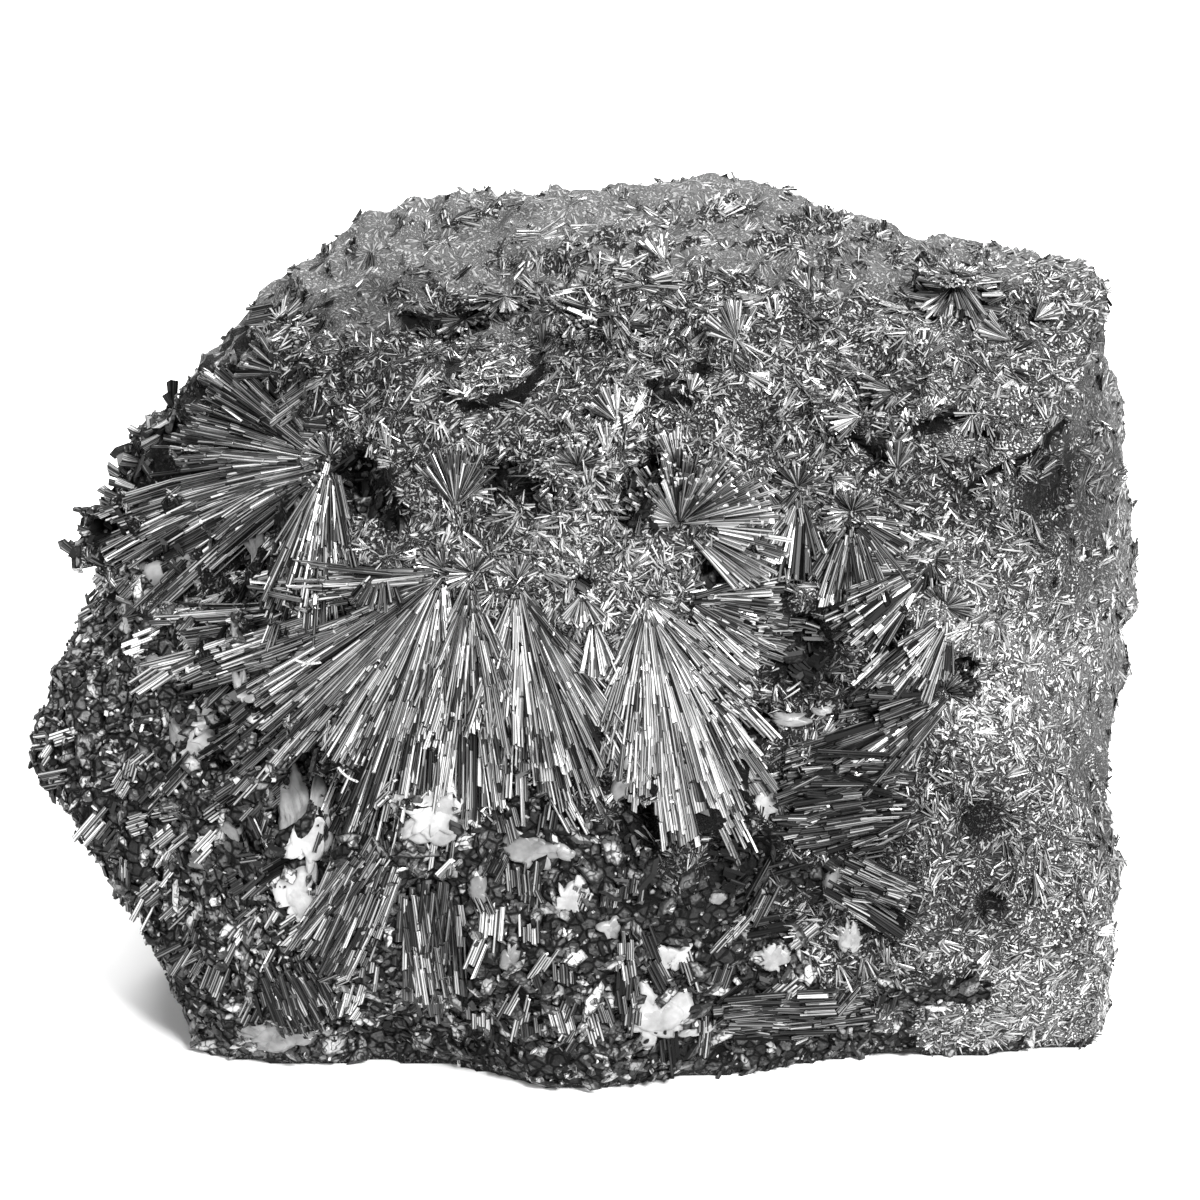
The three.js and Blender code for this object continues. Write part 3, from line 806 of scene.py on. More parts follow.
class Ray:
    """A straight line of a lying spray from its heart, with the ground under it smoothed out."""

    SAMPLES = 9
    LEAST_SOUND = 3  # samples before the skin falls away
    GRAIN = 0.8  # share of a grain that counts as in the way

    def __init__(self, rng, spray, height, clock, begin, reach):
        turn = math.radians(clock)
        self.way = np.array([math.sin(turn), math.cos(turn)])
        self.beside = np.array([self.way[1], -self.way[0]])
        spread = spray.get("spread", 0)
        self.origin = np.array(spray["at"], float) + self.beside * spread * rng.uniform(-0.5, 0.5)
        steps = np.linspace(begin, reach, self.SAMPLES)
        line = self.origin + steps[:, None] * self.way
        sound = height.runs_until(line[:, 0], line[:, 1])
        self.begin, self.reach = begin, steps[max(sound - 1, 0)]
        self.fits = sound >= self.LEAST_SOUND
        steps, line = steps[:sound], line[:sound]
        if self.fits:
            ground = height.at(line[:, 0], line[:, 1])
            self.curve = np.polyfit(steps, ground, 2)
            self.miss = np.max(ground - np.polyval(self.curve, steps))
        self.crosses_a_nest = on_a_nest(line[:, 0], line[:, 1], self.GRAIN).any()

    def point(self, r, aside, rise):
        """The place at radius r, shifted aside and out."""
        spot = self.origin + self.way * r + self.beside * aside
        return (*spot, np.polyval(self.curve, r) + rise)


def slat_width(spread, mean, r):
    """Width of a slat at radius r. Those of a bundle are as wide throughout."""
    widened = SHEET["width"] * r / mean * SHEET["widens"]
    return SHEET["width"] if spread else max(SHEET["narrowest"], widened)


def sheet_slats(rng, spray, height):
    """Broad slats side by side, each widening from the heart and broken across."""
    clocks, lengths = spray_shape(spray)
    mean = lengths.mean()
    spread = spray.get("spread", 0)
    count = int(spray_area(spray) * SHEET["cover"] / (SHEET["width"] * mean * SHEET["fills"]))
    rows = []
    for _ in range(count):
        clock = rng.uniform(clocks.min(), clocks.max())
        reach = np.interp(clock, clocks, lengths) * rng.uniform(*SHEET["reach"])
        nearest, furthest = SHEET["begin"]
        begin = rng.uniform(nearest, furthest + spread * SHEET["begin_per_spread"])
        ray = Ray(rng, spray, height, clock, begin, reach)
        if not ray.fits or ray.crosses_a_nest:
            continue
        roll = rng.normal(0, SHEET["roll_varies"])
        tone = spray["tone"] - SHEET["duller"] + rng.normal(0, SHEET["tone_varies"])
        rise = SHEET["rise"] + rng.uniform(*SHEET["rise_by"])
        here = ray.begin
        while here < ray.reach - SHEET["least_piece"]:
            stop = min(here + rng.uniform(*SHEET["pieces"]), ray.reach)
            inner, outer = (slat_width(spread, mean, r) for r in (here, stop))
            rows.append((
                ray.point(here, 0, rise), ray.point(stop, 0, rise), outer, roll,
                tone + rng.normal(0, SHEET["piece_tone_varies"]), inner / outer, SHEET["thick"],
            ))
            here = stop
    return rows


def gathered(share):
    """How far apart the needles of a strand are at that share of the length of the spray."""
    least = GATHERS["least"]
    return min(1.0, least + (1 - least) * share / GATHERS["until"])


def strand(rng, spray, height, clock, begin, reach, layer):
    """One strand of nearly parallel needles, each broken into pieces along its length."""
    ray = Ray(rng, spray, height, clock, begin, reach)
    if not ray.fits or ray.reach - begin < STRAND["shortest"]:
        return []
    if ray.crosses_a_nest and rng.random() < STRAND["left_out_on_grain"]:
        return []
    width = spray["needle"]
    mean = spray_shape(spray)[1].mean()
    share, most = CLEARS_GROUND
    rise = STRAND["rise"] + min(ray.miss, most) * share + layer * LAYER_STEP
    rise += rng.uniform(*STRAND["rise_by"])
    roll = rng.normal(0, STRAND["roll_varies"])
    tone = spray["tone"] + rng.normal(0, STRAND["tone_varies"])
    count = rng.integers(*STRAND["needles"])
    fan = math.radians(rng.uniform(-STRAND["parts"], STRAND["parts"]))
    rows = []
    for k in range(count):
        off = (k - (count - 1) / 2) * width * rng.uniform(*STRAND["apart"])
        here = begin + rng.uniform(*STRAND["begin_by"])
        last = ray.reach - abs(rng.normal(0, STRAND["reach_varies"])) * ray.reach
        lift = rng.normal(0, STRAND["lift_varies"])
        own = tone + rng.normal(0, STRAND["tone_varies"])
        while here < last - PIECE["least"]:
            stop = min(here + rng.uniform(*PIECE["length"]), last)
            if last - stop < PIECE["rest"]:
                stop = last
            ends = []
            for r in (here, stop):
                gather = 1.0 if spray.get("spread") else gathered(r / mean)
                aside = off * gather + fan * (r - begin) * (k - count / 2) / count
                ends.append(ray.point(r, aside, rise + off * math.sin(roll) + lift))
            odd = rng.choice(ODD_TONES, p=ODD_SHARES)
            rows.append((
                *ends, width * rng.uniform(*PIECE["width"]),
                roll + rng.normal(0, PIECE["roll_varies"]),
                own + odd + rng.normal(0, PIECE["tone_varies"]), PIECE["taper"], width,
            ))
            here = stop + rng.uniform(*PIECE["gap"])
    return rows


def strand_plan(rng, spray):
    """Clock angle, first and last radius and layer of each strand of a lying spray."""
    clocks, lengths = spray_shape(spray)
    low, high = clocks.min() - PLAN["beyond"], clocks.max() + PLAN["beyond"]
    strand_area = PLAN["wide"] * spray["needle"] * lengths.mean() * PLAN["fills"]
    plan = []
    for layer, (cover, nearest, furthest) in enumerate(LAYERS):
        for _ in range(int(spray_area(spray) * cover / strand_area) + 2):
            clock = rng.uniform(low, high)
            reach = np.interp(clock, clocks, lengths) * rng.uniform(nearest, furthest)
            if rng.random() < PLAN["outside"]:
                begin = reach * rng.power(PLAN["outward"]) * PLAN["far_out"]
            else:
                begin = rng.uniform(*PLAN["near"])
            begin += spray.get("spread", 0) / 2 * rng.random()
            plan.append((clock, begin, reach, layer))
    return plan


def lying_needles(rng, spray, height):
    """The sheet of slats of a spray, with strands of needles in layers upon it."""
    rows = sheet_slats(rng, spray, height)
    for clock, begin, reach, layer in strand_plan(rng, spray):
        rows += strand(rng, spray, height, clock, begin, reach, layer)
    return needles_from(height, rows)


# Needles that stand out: how few they are for their arc, and as shares of those of the spray
# their lift, reach and width. They begin at a share of their reach, from a heart deep in the skin.
RISING = {
    "few": 9, "lift": (0, 1.4), "reach": (0.55, 1.05), "begin": (0, 0.3), "deep": 0.3,
    "width": (0.6, 1.25), "taper": 0.7, "thick": 0.7, "roll_varies": 0.6, "tone_varies": 0.15,
}
# The rosette in the heart of a lying spray: its needles against those of the spray, its size.
HEART = {"needle": 0.7, "brighter": 0.02, "lift": 14, "ribs": [(-180, 2.2), (0, 2.2), (180, 2.2)]}


def rising_needles(rng, spray, height):
    """Needles that stand out from one heart, or from a patch of skin round it."""
    clocks, lengths = spray_shape(spray)
    angle = clocks.max() - clocks.min()
    count = int(angle * lengths.mean() / spray["needle"] / RISING["few"])
    clock = rng.uniform(clocks.min(), clocks.max(), count)
    lift = np.radians(spray["lift"] * rng.uniform(*RISING["lift"], count))
    reach = np.interp(clock, clocks, lengths) * rng.uniform(*RISING["reach"], count)
    begin = rng.uniform(*RISING["begin"], count) * reach
    patch = spray.get("patch", 0)
    hearts = np.array(spray["at"], float) + rng.uniform(-patch, patch, (count, 2))
    ground = height.at(*hearts.T) - RISING["deep"]
    turn = np.radians(clock)
    flat = np.stack([np.sin(turn), np.cos(turn)], 1) * np.cos(lift)[:, None]
    feet, tips = (
        height.place(*(hearts + flat * r[:, None]).T, ground + np.sin(lift) * r)
        for r in (begin, reach)
    )
    width = spray["needle"] * rng.uniform(*RISING["width"], count)
    return needle_set(rng, RISING, feet, tips, width, spray["tone"], height.axes["out"])


def heart_of(spray):
    """The small rosette in the heart of a lying spray."""
    return {
        "at": spray["at"], "needle": spray["needle"] * HEART["needle"],
        "tone": spray["tone"] + HEART["brighter"], "lift": HEART["lift"], "ribs": HEART["ribs"],
    }


def grow_spray(name, spray, heights, material):
    rng = seeded(name)
    height = heights[spray.get("face", "front")]
    if "lift" in spray:
        needles = rising_needles(rng, spray, height)
    elif "spread" in spray:
        needles = lying_needles(rng, spray, height)
    else:
        heart = rising_needles(rng, heart_of(spray), height)
        needles = joined([lying_needles(rng, spray, height), heart])
    mesh = needle_mesh(name, rng, needles, blades, BLADE)
    stands_for = [name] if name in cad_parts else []
    add_piece(name + "_needles", mesh, material, stands_for)


SMALL_FAN = {
    "needle": 0.28, "per_degree_mm": 0.2, "least": 6, "lift": (2, 22), "reach": (0.5, 1.05),
    "begin": (0, 0.3), "width": (0.6, 1.3), "taper": 0.5, "thick": 0.6,
    "roll_varies": 0.4, "tone_varies": 0.14,
}


def small_fan(rng, height, heart, clocks, length, tone):
    """Needles that spread over the skin from one heart, on the slope of the skin there."""
    spot, out, up, right = height.frame_at(*heart)
    angle = clocks[1] - clocks[0]
    count = int(angle * length * SMALL_FAN["per_degree_mm"]) + SMALL_FAN["least"]
    turn = np.radians(rng.uniform(*clocks, count))[:, None]
    lift = np.radians(rng.uniform(*SMALL_FAN["lift"], count))[:, None]
    way = (up * np.cos(turn) + right * np.sin(turn)) * np.cos(lift) + out * np.sin(lift)
    reach = length * rng.uniform(*SMALL_FAN["reach"], (count, 1))
    begin = reach * rng.uniform(*SMALL_FAN["begin"], (count, 1))
    width = SMALL_FAN["needle"] * rng.uniform(*SMALL_FAN["width"], count)
    feet, tips = spot + way * begin, spot + way * reach
    return needle_set(rng, SMALL_FAN, feet, tips, width, tone, out)


def grow_small_fans(heights, material):
    rng = seeded("small_fans")
    needles = joined([small_fan(rng, heights["front"], *fan) for fan in SMALL_FANS])
    mesh = needle_mesh("small_fans", rng, needles, blades, BLADE)
    add_piece("small_fans", mesh, material)


# ---------------------------------------------------------------- zones of the skin


# How raggedly the zones border on one another: size of the waves, how far across and how far up.
ZONE_WAVES = [(6, 7, 5), (1.6, 3, 2.5)]
# How much the faces of a zone look its way, and where it can begin. The right side takes in the
# upper right corner of the front.
TOP = {"faces": 0.5, "above": 40}
BACK_FACES = 0.45
RIGHT = {"faces": 0.6, "beyond": 30, "behind": -16, "corner": 40, "corner_above": 26}
LEFT = {"faces": 0.65, "beyond": 18}
# How far back the top begins, how high up the crumbly part goes, and how far right the rim begins.
TOP_BEGINS = ([-20, 0, 20, 36], [-2, -4, -1, 3])
CRUMBS_END = ([-46, -35, -22, -12, 0, 8, 15, 24, 27], [38, 34, 28, 25, 23, 20, 14, 8, -1])
RIM_BEGINS = ([0, 8, 30, 42, 60], [15, 25, 27, 27, 24])
# What lies lower than this belongs to the cut on which the block rests.
RESTS = 0.6


def zones(points, normals):
    """Which zone of the block each point belongs to."""
    x, y, z = points.T
    nx, ny, nz = normals.T
    rests = z < RESTS
    for k, (size, across, up) in enumerate(ZONE_WAVES):
        x = x + across * noise_at(points, size, NOISE["across"] + k)
        y = y + across * noise_at(points, size, NOISE["back"] + k)
        z = z + up * noise_at(points, size, NOISE["up"] + k)
    top = (nz > TOP["faces"]) & (z > TOP["above"]) & (y > np.interp(x, *TOP_BEGINS))
    back = ~top & (ny > BACK_FACES)
    side = (nx > RIGHT["faces"]) & (y > RIGHT["behind"])
    corner = (x > RIGHT["corner"]) & (z > RIGHT["corner_above"])
    right = ~top & ~back & (x > RIGHT["beyond"]) & (side | corner)
    left = ~top & ~back & (x < -LEFT["beyond"]) & (nx < -LEFT["faces"])
    front = ~(top | back | right | left)
    low = (front | left) & (z < np.interp(x, *CRUMBS_END))
    rim = front & ~low & (x > np.interp(z, *RIM_BEGINS))
    upper = front & ~low & ~rim
    found = {
        "top": top, "back": back, "right": right & ~low, "left": left & ~low,
        "crumbly": low, "rim": rim, "upper": upper,
    }
    return {name: belongs & ~rests for name, belongs in found.items()}


# The part of a lying spray that hides the skin: from that radius to that share of its length.
HIDES = {"from": 2, "share": 0.85}


def in_a_spray(points, normals):
    """Whether a point of the front lies under one of the lying sprays."""
    hidden = np.zeros(len(points), bool)
    faces_front = (normals[:, 1] < LOOKS_FRONT) & (points[:, 1] < SPRAYS_END)
    for spray in SPRAYS.values():
        if "lift" in spray or "spread" in spray or "face" in spray:
            continue
        clocks, lengths = spray_shape(spray)
        dx = points[:, 0] - spray["at"][0]
        dz = points[:, 2] - spray["at"][1]
        r = np.hypot(dx, dz)
        clock = np.degrees(np.arctan2(dx, dz)) % 360
        reach = np.interp(clock, clocks, lengths, left=0, right=0)
        hidden |= (r < reach * HIDES["share"]) & (r > HIDES["from"])
    return hidden & faces_front


def on_a_nest(x, z, share):
    """Whether a place on the front lies on a nest of gangue, within that share of its size."""
    found = np.zeros(np.shape(x), bool)
    for (u, v), (width, height), _ in [*GANGUE.values(), *SPECKS]:
        found |= np.hypot((x - u) / width, (z - v) / height) * 2 < share
    return found


# ---------------------------------------------------------------- druse


# A rosette: its arc in degrees is seldom wide, its heart is sunk in the skin, and its needles
# start scattered about that. Needles whose tips would stand further off the skin than stands_off
# are left out, and so are most hearts in the dark.
ROSETTE = {
    "arc": 25, "wider": 250, "seldom": 2.5, "size": (0.6, 1.35), "width": (0.6, 1.3),
    "reach": (0.55, 1.1), "begin": (0, 0.35), "sunk": 0.12, "scatter": 0.1,
    "stands_off": 0.55, "shade": 0.85, "roll_varies": 0.4, "tone_varies": 0.13,
}


def rosettes(rng, looks, skin, belongs):
    """Rosettes and tufts of slivers on one zone of the skin: a tier of the druse."""
    per_mm2, each, length, needle, most_lift, bright = looks
    hearts, normals = skin.sample(rng, belongs.astype(float), per_mm2)
    kept = rng.random(len(hearts)) > darkness(hearts) * ROSETTE["shade"]
    hearts, normals = hearts[kept], normals[kept]
    count = len(hearts)
    arc = ROSETTE["arc"] + ROSETTE["wider"] * rng.random(count) ** ROSETTE["seldom"]
    arc = np.radians(arc)
    middle = rng.uniform(0, 2 * np.pi, count)
    size = rng.uniform(*ROSETTE["size"], count)
    tone = bright + rng.normal(0, ROSETTE["tone_varies"], count)
    tangent = unit(np.cross(normals, rng.normal(size=(count, 3))))
    other = np.cross(normals, tangent)

    total = count * each
    arc, middle, size, tone = (for_each(values, each) for values in (arc, middle, size, tone))
    hearts, normals, tangent, other = (
        for_each(values, each) for values in (hearts, normals, tangent, other)
    )
    turn = (middle + arc * rng.uniform(-0.5, 0.5, total))[:, None]
    lift = rng.uniform(0, np.radians(most_lift), total)[:, None]
    flat = np.cos(turn) * tangent + np.sin(turn) * other
    way = flat * np.cos(lift) + normals * np.sin(lift)
    reach = length * size * rng.uniform(*ROSETTE["reach"], total)
    begin = reach * rng.uniform(*ROSETTE["begin"], total)
    hearts = hearts - normals * ROSETTE["sunk"] + rng.normal(0, ROSETTE["scatter"], (total, 3))
    feet, tips = hearts + way * begin[:, None], hearts + way * reach[:, None]
    tone = tone + rng.normal(0, ROSETTE["tone_varies"], total)
    # Painted shade of hollows and cracks, with the darker and brighter parts, darkens these needles.
    tone = tone - darkness(feet) * ROSETTE["shade"]
    needles = {
        "feet": feet, "tips": tips, "width": needle * rng.uniform(*ROSETTE["width"], total),
        "roll": rng.normal(0, ROSETTE["roll_varies"], total), "tone": tone, "outward": normals,
    }
    return only(skin.within(ROSETTE["stands_off"], tips), needles)


def grow_druse(name, skin, belongs, material):
    rng = seeded("druse_" + name)
    needles = joined([rosettes(rng, looks, skin, belongs) for looks in DRUSE[name]])
    mesh = needle_mesh("druse_" + name, rng, needles, slivers, SLIVER)
    add_piece("druse_" + name, mesh, material)


# ---------------------------------------------------------------- chips and broken blades

# A flake: number of its sides, its rims as share of the size and height, and how much of its
# cell in the bake map each triangle fills.
CHIP_AROUND = 5
CHIP_RIMS = {"upper": (0.78, 0.9), "lower": (1, -0.5)}
CHIP_FILL = 0.9
# How uneven a flake is round about, how much it is stretched along and across, how far off the
# skin its middle and at most its corners lie, and how much painted shade of hollows and cracks,
# and the darker parts, darken it.
FLAKE = {
    "uneven": (0.45, 1.3), "along": (0.8, 1.7), "across": (0.4, 0.9), "off": (-0.25, 0.3),
    "stands_off": 0.9, "shade": 0.7,
}


def chip_pattern():
    """A flake: the corners of a bevelled five-sided plate, its triangles and their marks.

    The marks are 0.5 in the middle of its top and 0 from its rim down, which darkens its outline and
    its sides with painted shade.
    """
    n = CHIP_AROUND
    turns = np.arange(n) * 2 * np.pi / n
    ring = np.stack([np.cos(turns), np.sin(turns), np.zeros(n)], 1)
    upper, lower = (ring * CHIP_RIMS[k][0] + (0, 0, CHIP_RIMS[k][1]) for k in ("upper", "lower"))
    corners = np.concatenate([[(0, 0, 1)], upper, lower, [(0, 0, -1)]])
    faces, marks = [], []
    for k in range(n):
        a, b = 1 + k, 1 + (k + 1) % n
        faces += [(0, a, b), (a, a + n, b + n), (a, b + n, b), (2 * n + 1, b + n, a + n)]
        marks += [[(0.5, 0.5), (0, 0.5), (0, 0.5)], *[[(0, 0.5)] * 3] * 3]
    each = np.arange(len(faces))
    spots = np.stack([each % n, each // n], 1)[:, None] / n
    cells = spots + np.array([(0, 0), (CHIP_FILL, 0), (0, CHIP_FILL)]) / n
    return corners, (np.array(faces), cells, np.array(marks))


CHIP_CORNERS, CHIP = chip_pattern()


def mostly_small(rng, sizes, count):
    """Sizes from the least to the greatest, of which most are small."""
    low, high = sizes
    return low + (high - low) * (1 - rng.power(2, count))


def chips(rng, looks, skin, weights):
    """One kind of broken pieces. Gives their corners, sizes and brightness."""
    per_mm2, sizes, flatness, tilt, bright, uneven = looks
    spots, normals = skin.sample(rng, weights, per_mm2)
    count = len(spots)
    size = mostly_small(rng, sizes, count)
    out = unit(normals + rng.normal(0, tilt, (count, 3)))
    side = unit(np.cross(out, rng.normal(size=(count, 3))))
    other = np.cross(out, side)
    around = np.tile(rng.uniform(*FLAKE["uneven"], (count, CHIP_AROUND)), 2)
    shape = np.tile(CHIP_CORNERS, (count, 1, 1))
    shape[:, 1:-1, :2] *= around[..., None]
    shape[..., 0] *= rng.uniform(*FLAKE["along"], (count, 1))
    shape[..., 1] *= rng.uniform(*FLAKE["across"], (count, 1))
    shape[..., 2] *= flatness
    shape *= size[:, None, None] / 2
    spots = spots + normals * rng.uniform(*FLAKE["off"], (count, 1))
    corners = (
        spots[:, None]
        + shape[..., 0:1] * side[:, None]
        + shape[..., 1:2] * other[:, None]
        + shape[..., 2:3] * out[:, None]
    )
    # Painted shade of hollows and cracks, with the darker and brighter parts, darkens these flakes.
    tones = rng.normal(bright, uneven, count) - darkness(spots) * FLAKE["shade"]
    near = skin.within(FLAKE["stands_off"], corners.reshape(-1, 3)).reshape(count, -1).all(1)
    return {"corners": corners[near].reshape(-1, 3), "size": size[near], "tone": tones[near]}


def grow_chips(skin, belongs, material):
    """Scales, shards and crumbs that crowd the broken part of the block."""
    rng = seeded("chips")
    made = joined([chips(rng, looks, skin, belongs.astype(float)) for looks in CHIPS])
    ones = np.ones(len(made["size"]))
    mesh = many_mesh("chips", made["corners"], CHIP, ones, made["size"], made["tone"])
    add_piece("broken_chips", mesh, material)


# Short bundles of broken blades among the chips, none of them lower than above: how many to a
# square millimetre, how many blades in each and how far apart in widths, how far off the skin they
# lie and may end, and how fully they turn into the skin. Widths, length and slip are shares of
# those of the bundle.
BUNDLES = {
    "per_mm2": 0.1, "each": 5, "length": (1.4, 4.5), "width": 0.32, "widths": (0.7, 1.4),
    "tone": 0.52, "apart": 0.9, "above": 4, "off": 0.25, "stands_off": 1.0,
    "along_skin": 0.8, "turn_varies": 0.3, "tilt_varies": 0.1, "tone_varies": 0.16,
}
BUNDLE_BLADES = {
    "length": (0.6, 1.1), "width": (0.6, 1.2), "taper": 0.9, "thick": 1,
    "slip_varies": 0.2, "roll_varies": 0.12, "tone_varies": 0.1,
}
# The points from which the bundles to either side of the parting seem to come.
BUNDLE_SOURCES = {"left": (-3, 50), "right": (30, 28)}
BUNDLE_PARTING = 9


def grow_bundles(skin, belongs, material):
    """Short broken bundles of blades, roughly in line with the sprays above them."""
    rng = seeded("bundles")
    fits = belongs & (skin.normals[:, 1] < LOOKS_FRONT) & (skin.middles[:, 2] > BUNDLES["above"])
    spots, normals = skin.sample(rng, fits.astype(float), BUNDLES["per_mm2"])
    count, each = len(spots), BUNDLES["each"]
    left, right = (np.array(BUNDLE_SOURCES[side], float) for side in ("left", "right"))
    source = np.where((spots[:, 0] < BUNDLE_PARTING)[:, None], left, right)
    flat = unit(spots[:, [0, 2]] - source)
    turn = rng.normal(0, BUNDLES["turn_varies"], count)
    c, s = np.cos(turn), np.sin(turn)
    across, up = flat.T
    tilt = rng.normal(0, BUNDLES["tilt_varies"], count)
    way = np.stack([across * c - up * s, tilt, across * s + up * c], 1)
    way = unit(way - normals * (way * normals).sum(1)[:, None] * BUNDLES["along_skin"])
    side = unit(np.cross(way, normals))
    length = mostly_small(rng, BUNDLES["length"], count)
    width = BUNDLES["width"] * rng.uniform(*BUNDLES["widths"], count)
    # Painted shade of hollows and cracks, with the darker and brighter parts, darkens these bundles.
    tone = rng.normal(BUNDLES["tone"], BUNDLES["tone_varies"], count) - darkness(spots)

    total = count * each
    length, width, tone = (for_each(values, each) for values in (length, width, tone))
    spots, normals, side, way = (for_each(values, each) for values in (spots, normals, side, way))
    off = np.tile(np.arange(each) - (each - 1) / 2, count) * width * BUNDLES["apart"]
    slip = rng.normal(0, BUNDLE_BLADES["slip_varies"], total) * length
    middle = spots + side * off[:, None] + normals * BUNDLES["off"] + way * slip[:, None]
    half = (length / 2 * rng.uniform(*BUNDLE_BLADES["length"], total))[:, None]
    own_width = width * rng.uniform(*BUNDLE_BLADES["width"], total)
    feet, tips = middle - way * half, middle + way * half
    needles = needle_set(rng, BUNDLE_BLADES, feet, tips, own_width, tone, normals)
    near = skin.within(BUNDLES["stands_off"], feet) & skin.within(BUNDLES["stands_off"], tips)
    mesh = needle_mesh("bundles", rng, only(near, needles), blades, BLADE)
    add_piece("broken_blades", mesh, material)


# ---------------------------------------------------------------- gangue

# A nest of gangue is a few lobes that overlap, and a speck fewer. A lobe has so many corners round
# each of its rings and spurs in its outline, is domed, and has its underside sunk in the skin.
NEST = {"round": 56, "rings": 7, "lobes": 3, "spurs": 13, "dome": 0.05, "sunk": 1.2}
SPECK = {"round": 28, "rings": 4, "lobes": 2, "spurs": 9, "dome": 0.05, "sunk": 0.9}
# Lobes: how far the further ones lie from the middle, the sizes of the first and the further
# ones, and how bright they are, all as shares of the nest.
LOBES = {"aside": 0.22, "first": 0.9, "further": (0.55, 0.85), "brightness": (0.8, 1.05)}
# How far a nest stands out of the skin, how much it levels the unevenness of the skin and how far
# it may leave the skin for that, its own lumps, how deep its edge is and how far in and out the
# spurs of its outline go.
NEST_RISE = 0.3
NEST_LEVEL = 0.7
NEST_FREE = (-0.7, 0.5)
NEST_LUMPS = {"size": 1.3, "height": 0.2}
NEST_EDGE = 0.4
NEST_SPURS = (0.4, 1.9)
# How much duller a nest is at its edge, and how suddenly.
NEST_DULL = (0.35, 6)


def lobe(rng, make, height, middle, size, bright):
    """One low dome with a jagged outline, closed underneath: corners, triangles, brightness."""
    n, rings = make["round"], make["rings"]
    turns = np.linspace(0, 2 * np.pi, n, endpoint=False)
    knots = np.sort(rng.uniform(0, 2 * np.pi, make["spurs"]))
    edge = np.interp(turns, knots, rng.uniform(*NEST_SPURS, len(knots)), period=2 * np.pi)
    shares = np.arange(1, rings + 1)[:, None] / rings
    u = middle[0] + np.sin(turns) * edge * shares * size[0] / 2
    v = middle[1] + np.cos(turns) * edge * shares * size[1] / 2
    ground = height.at(u, v)
    plane = np.stack([u.ravel(), v.ravel(), np.ones(u.size)], 1)
    slope = np.linalg.lstsq(plane, ground.ravel(), rcond=None)[0]
    flat = (plane @ slope).reshape(u.shape)
    h = ground + np.clip(NEST_LEVEL * (flat - ground), *NEST_FREE) + NEST_RISE
    h = h + make["dome"] * (1 - shares**3)
    spots = height.place(u, v, h).reshape(-1, 3)
    h = h + NEST_LUMPS["height"] * noise_at(spots, NEST_LUMPS["size"]).reshape(h.shape)
    h[-1] -= NEST_EDGE
    corners = np.concatenate([
        height.place(u, v, h).reshape(-1, 3),
        height.place(u[-1], v[-1], h[-1] - make["sunk"]),
        height.place([middle[0]], [middle[1]], [h[0].mean()]),
        height.place([middle[0]], [middle[1]], [h[0].mean() - make["sunk"]]),
    ])
    corners[:, 2] = np.maximum(corners[:, 2], 0)
    last = (rings + 1) * n
    dull, sudden = NEST_DULL
    faces, tones = [], []
    for k in range(n):
        beside = (k + 1) % n
        faces += [(last, beside, k), (last + 1, rings * n + k, rings * n + beside)]
        tones += [bright, 0]
        for ring in range(rings):
            a, b = ring * n + k, ring * n + beside
            faces += [(a, b, b + n), (a, b + n, a + n)]
            tones += [bright * (1 - dull * ((ring + 1) / rings) ** sudden)] * 2
    return corners, np.array(faces), np.array(tones)


def nest_parts(rng, make, height, nest):
    """The overlapping lobes of one nest."""
    (u, v), (width, tall), bright = nest
    parts = []
    for k in range(make["lobes"]):
        aside = rng.uniform(-LOBES["aside"], LOBES["aside"], 2) * (width, tall) * (k > 0)
        share = rng.uniform(*LOBES["further"]) if k else LOBES["first"]
        size = (width * share, tall * share)
        tone = bright * rng.uniform(*LOBES["brightness"])
        parts.append(lobe(rng, make, height, (u + aside[0], v + aside[1]), size, tone))
    return parts


def lobes_mesh(name, parts):
    """One mesh of several lobes."""
    starts = np.cumsum([0, *(len(corners) for corners, _, _ in parts)])
    faces = np.concatenate([part[1] + start for part, start in zip(parts, starts)])
    mesh = mesh_from(name, np.concatenate([part[0] for part in parts]), faces)
    store(mesh, "tone", np.concatenate([part[2] for part in parts]))
    return mesh


def grow_nests(heights, material):
    height = heights["front"]
    for name, nest in GANGUE.items():
        mesh = lobes_mesh(name, nest_parts(seeded(name), NEST, height, nest))
        add_piece(name + "_nest", mesh, material, [name])
    rng = seeded("gangue_specks")
    parts = [part for nest in SPECKS for part in nest_parts(rng, SPECK, height, nest)]
    add_piece("gangue_specks", lobes_mesh("gangue_specks", parts), material)


FIBRE = {"pieces": 10, "width": 0.15, "tone": 0.95}


def grow_lint(height, material):
    """Fibres of lint, each a chain of short pieces that bridges what lies under it."""
    share = np.linspace(0, 1, FIBRE["pieces"] + 1)[:, None]
    rows = []
    for rise, bend in LINT:
        start, pull, end = np.array(bend, float)
        line = (1 - share) ** 2 * start + 2 * share * (1 - share) * pull + share**2 * end
        level = height.at(*line.T).max() + rise
        spots = [(*spot, level) for spot in line]
        rows += [
            (foot, tip, FIBRE["width"], 0, FIBRE["tone"], 1, FIBRE["width"])
            for foot, tip in zip(spots, spots[1:])
        ]
    needles = needles_from(height, rows)
    mesh = needle_mesh("lint_fibres", seeded("lint_fibres"), needles, blades, BLADE)
    add_piece("lint_fibres", mesh, material)


# ---------------------------------------------------------------- materials


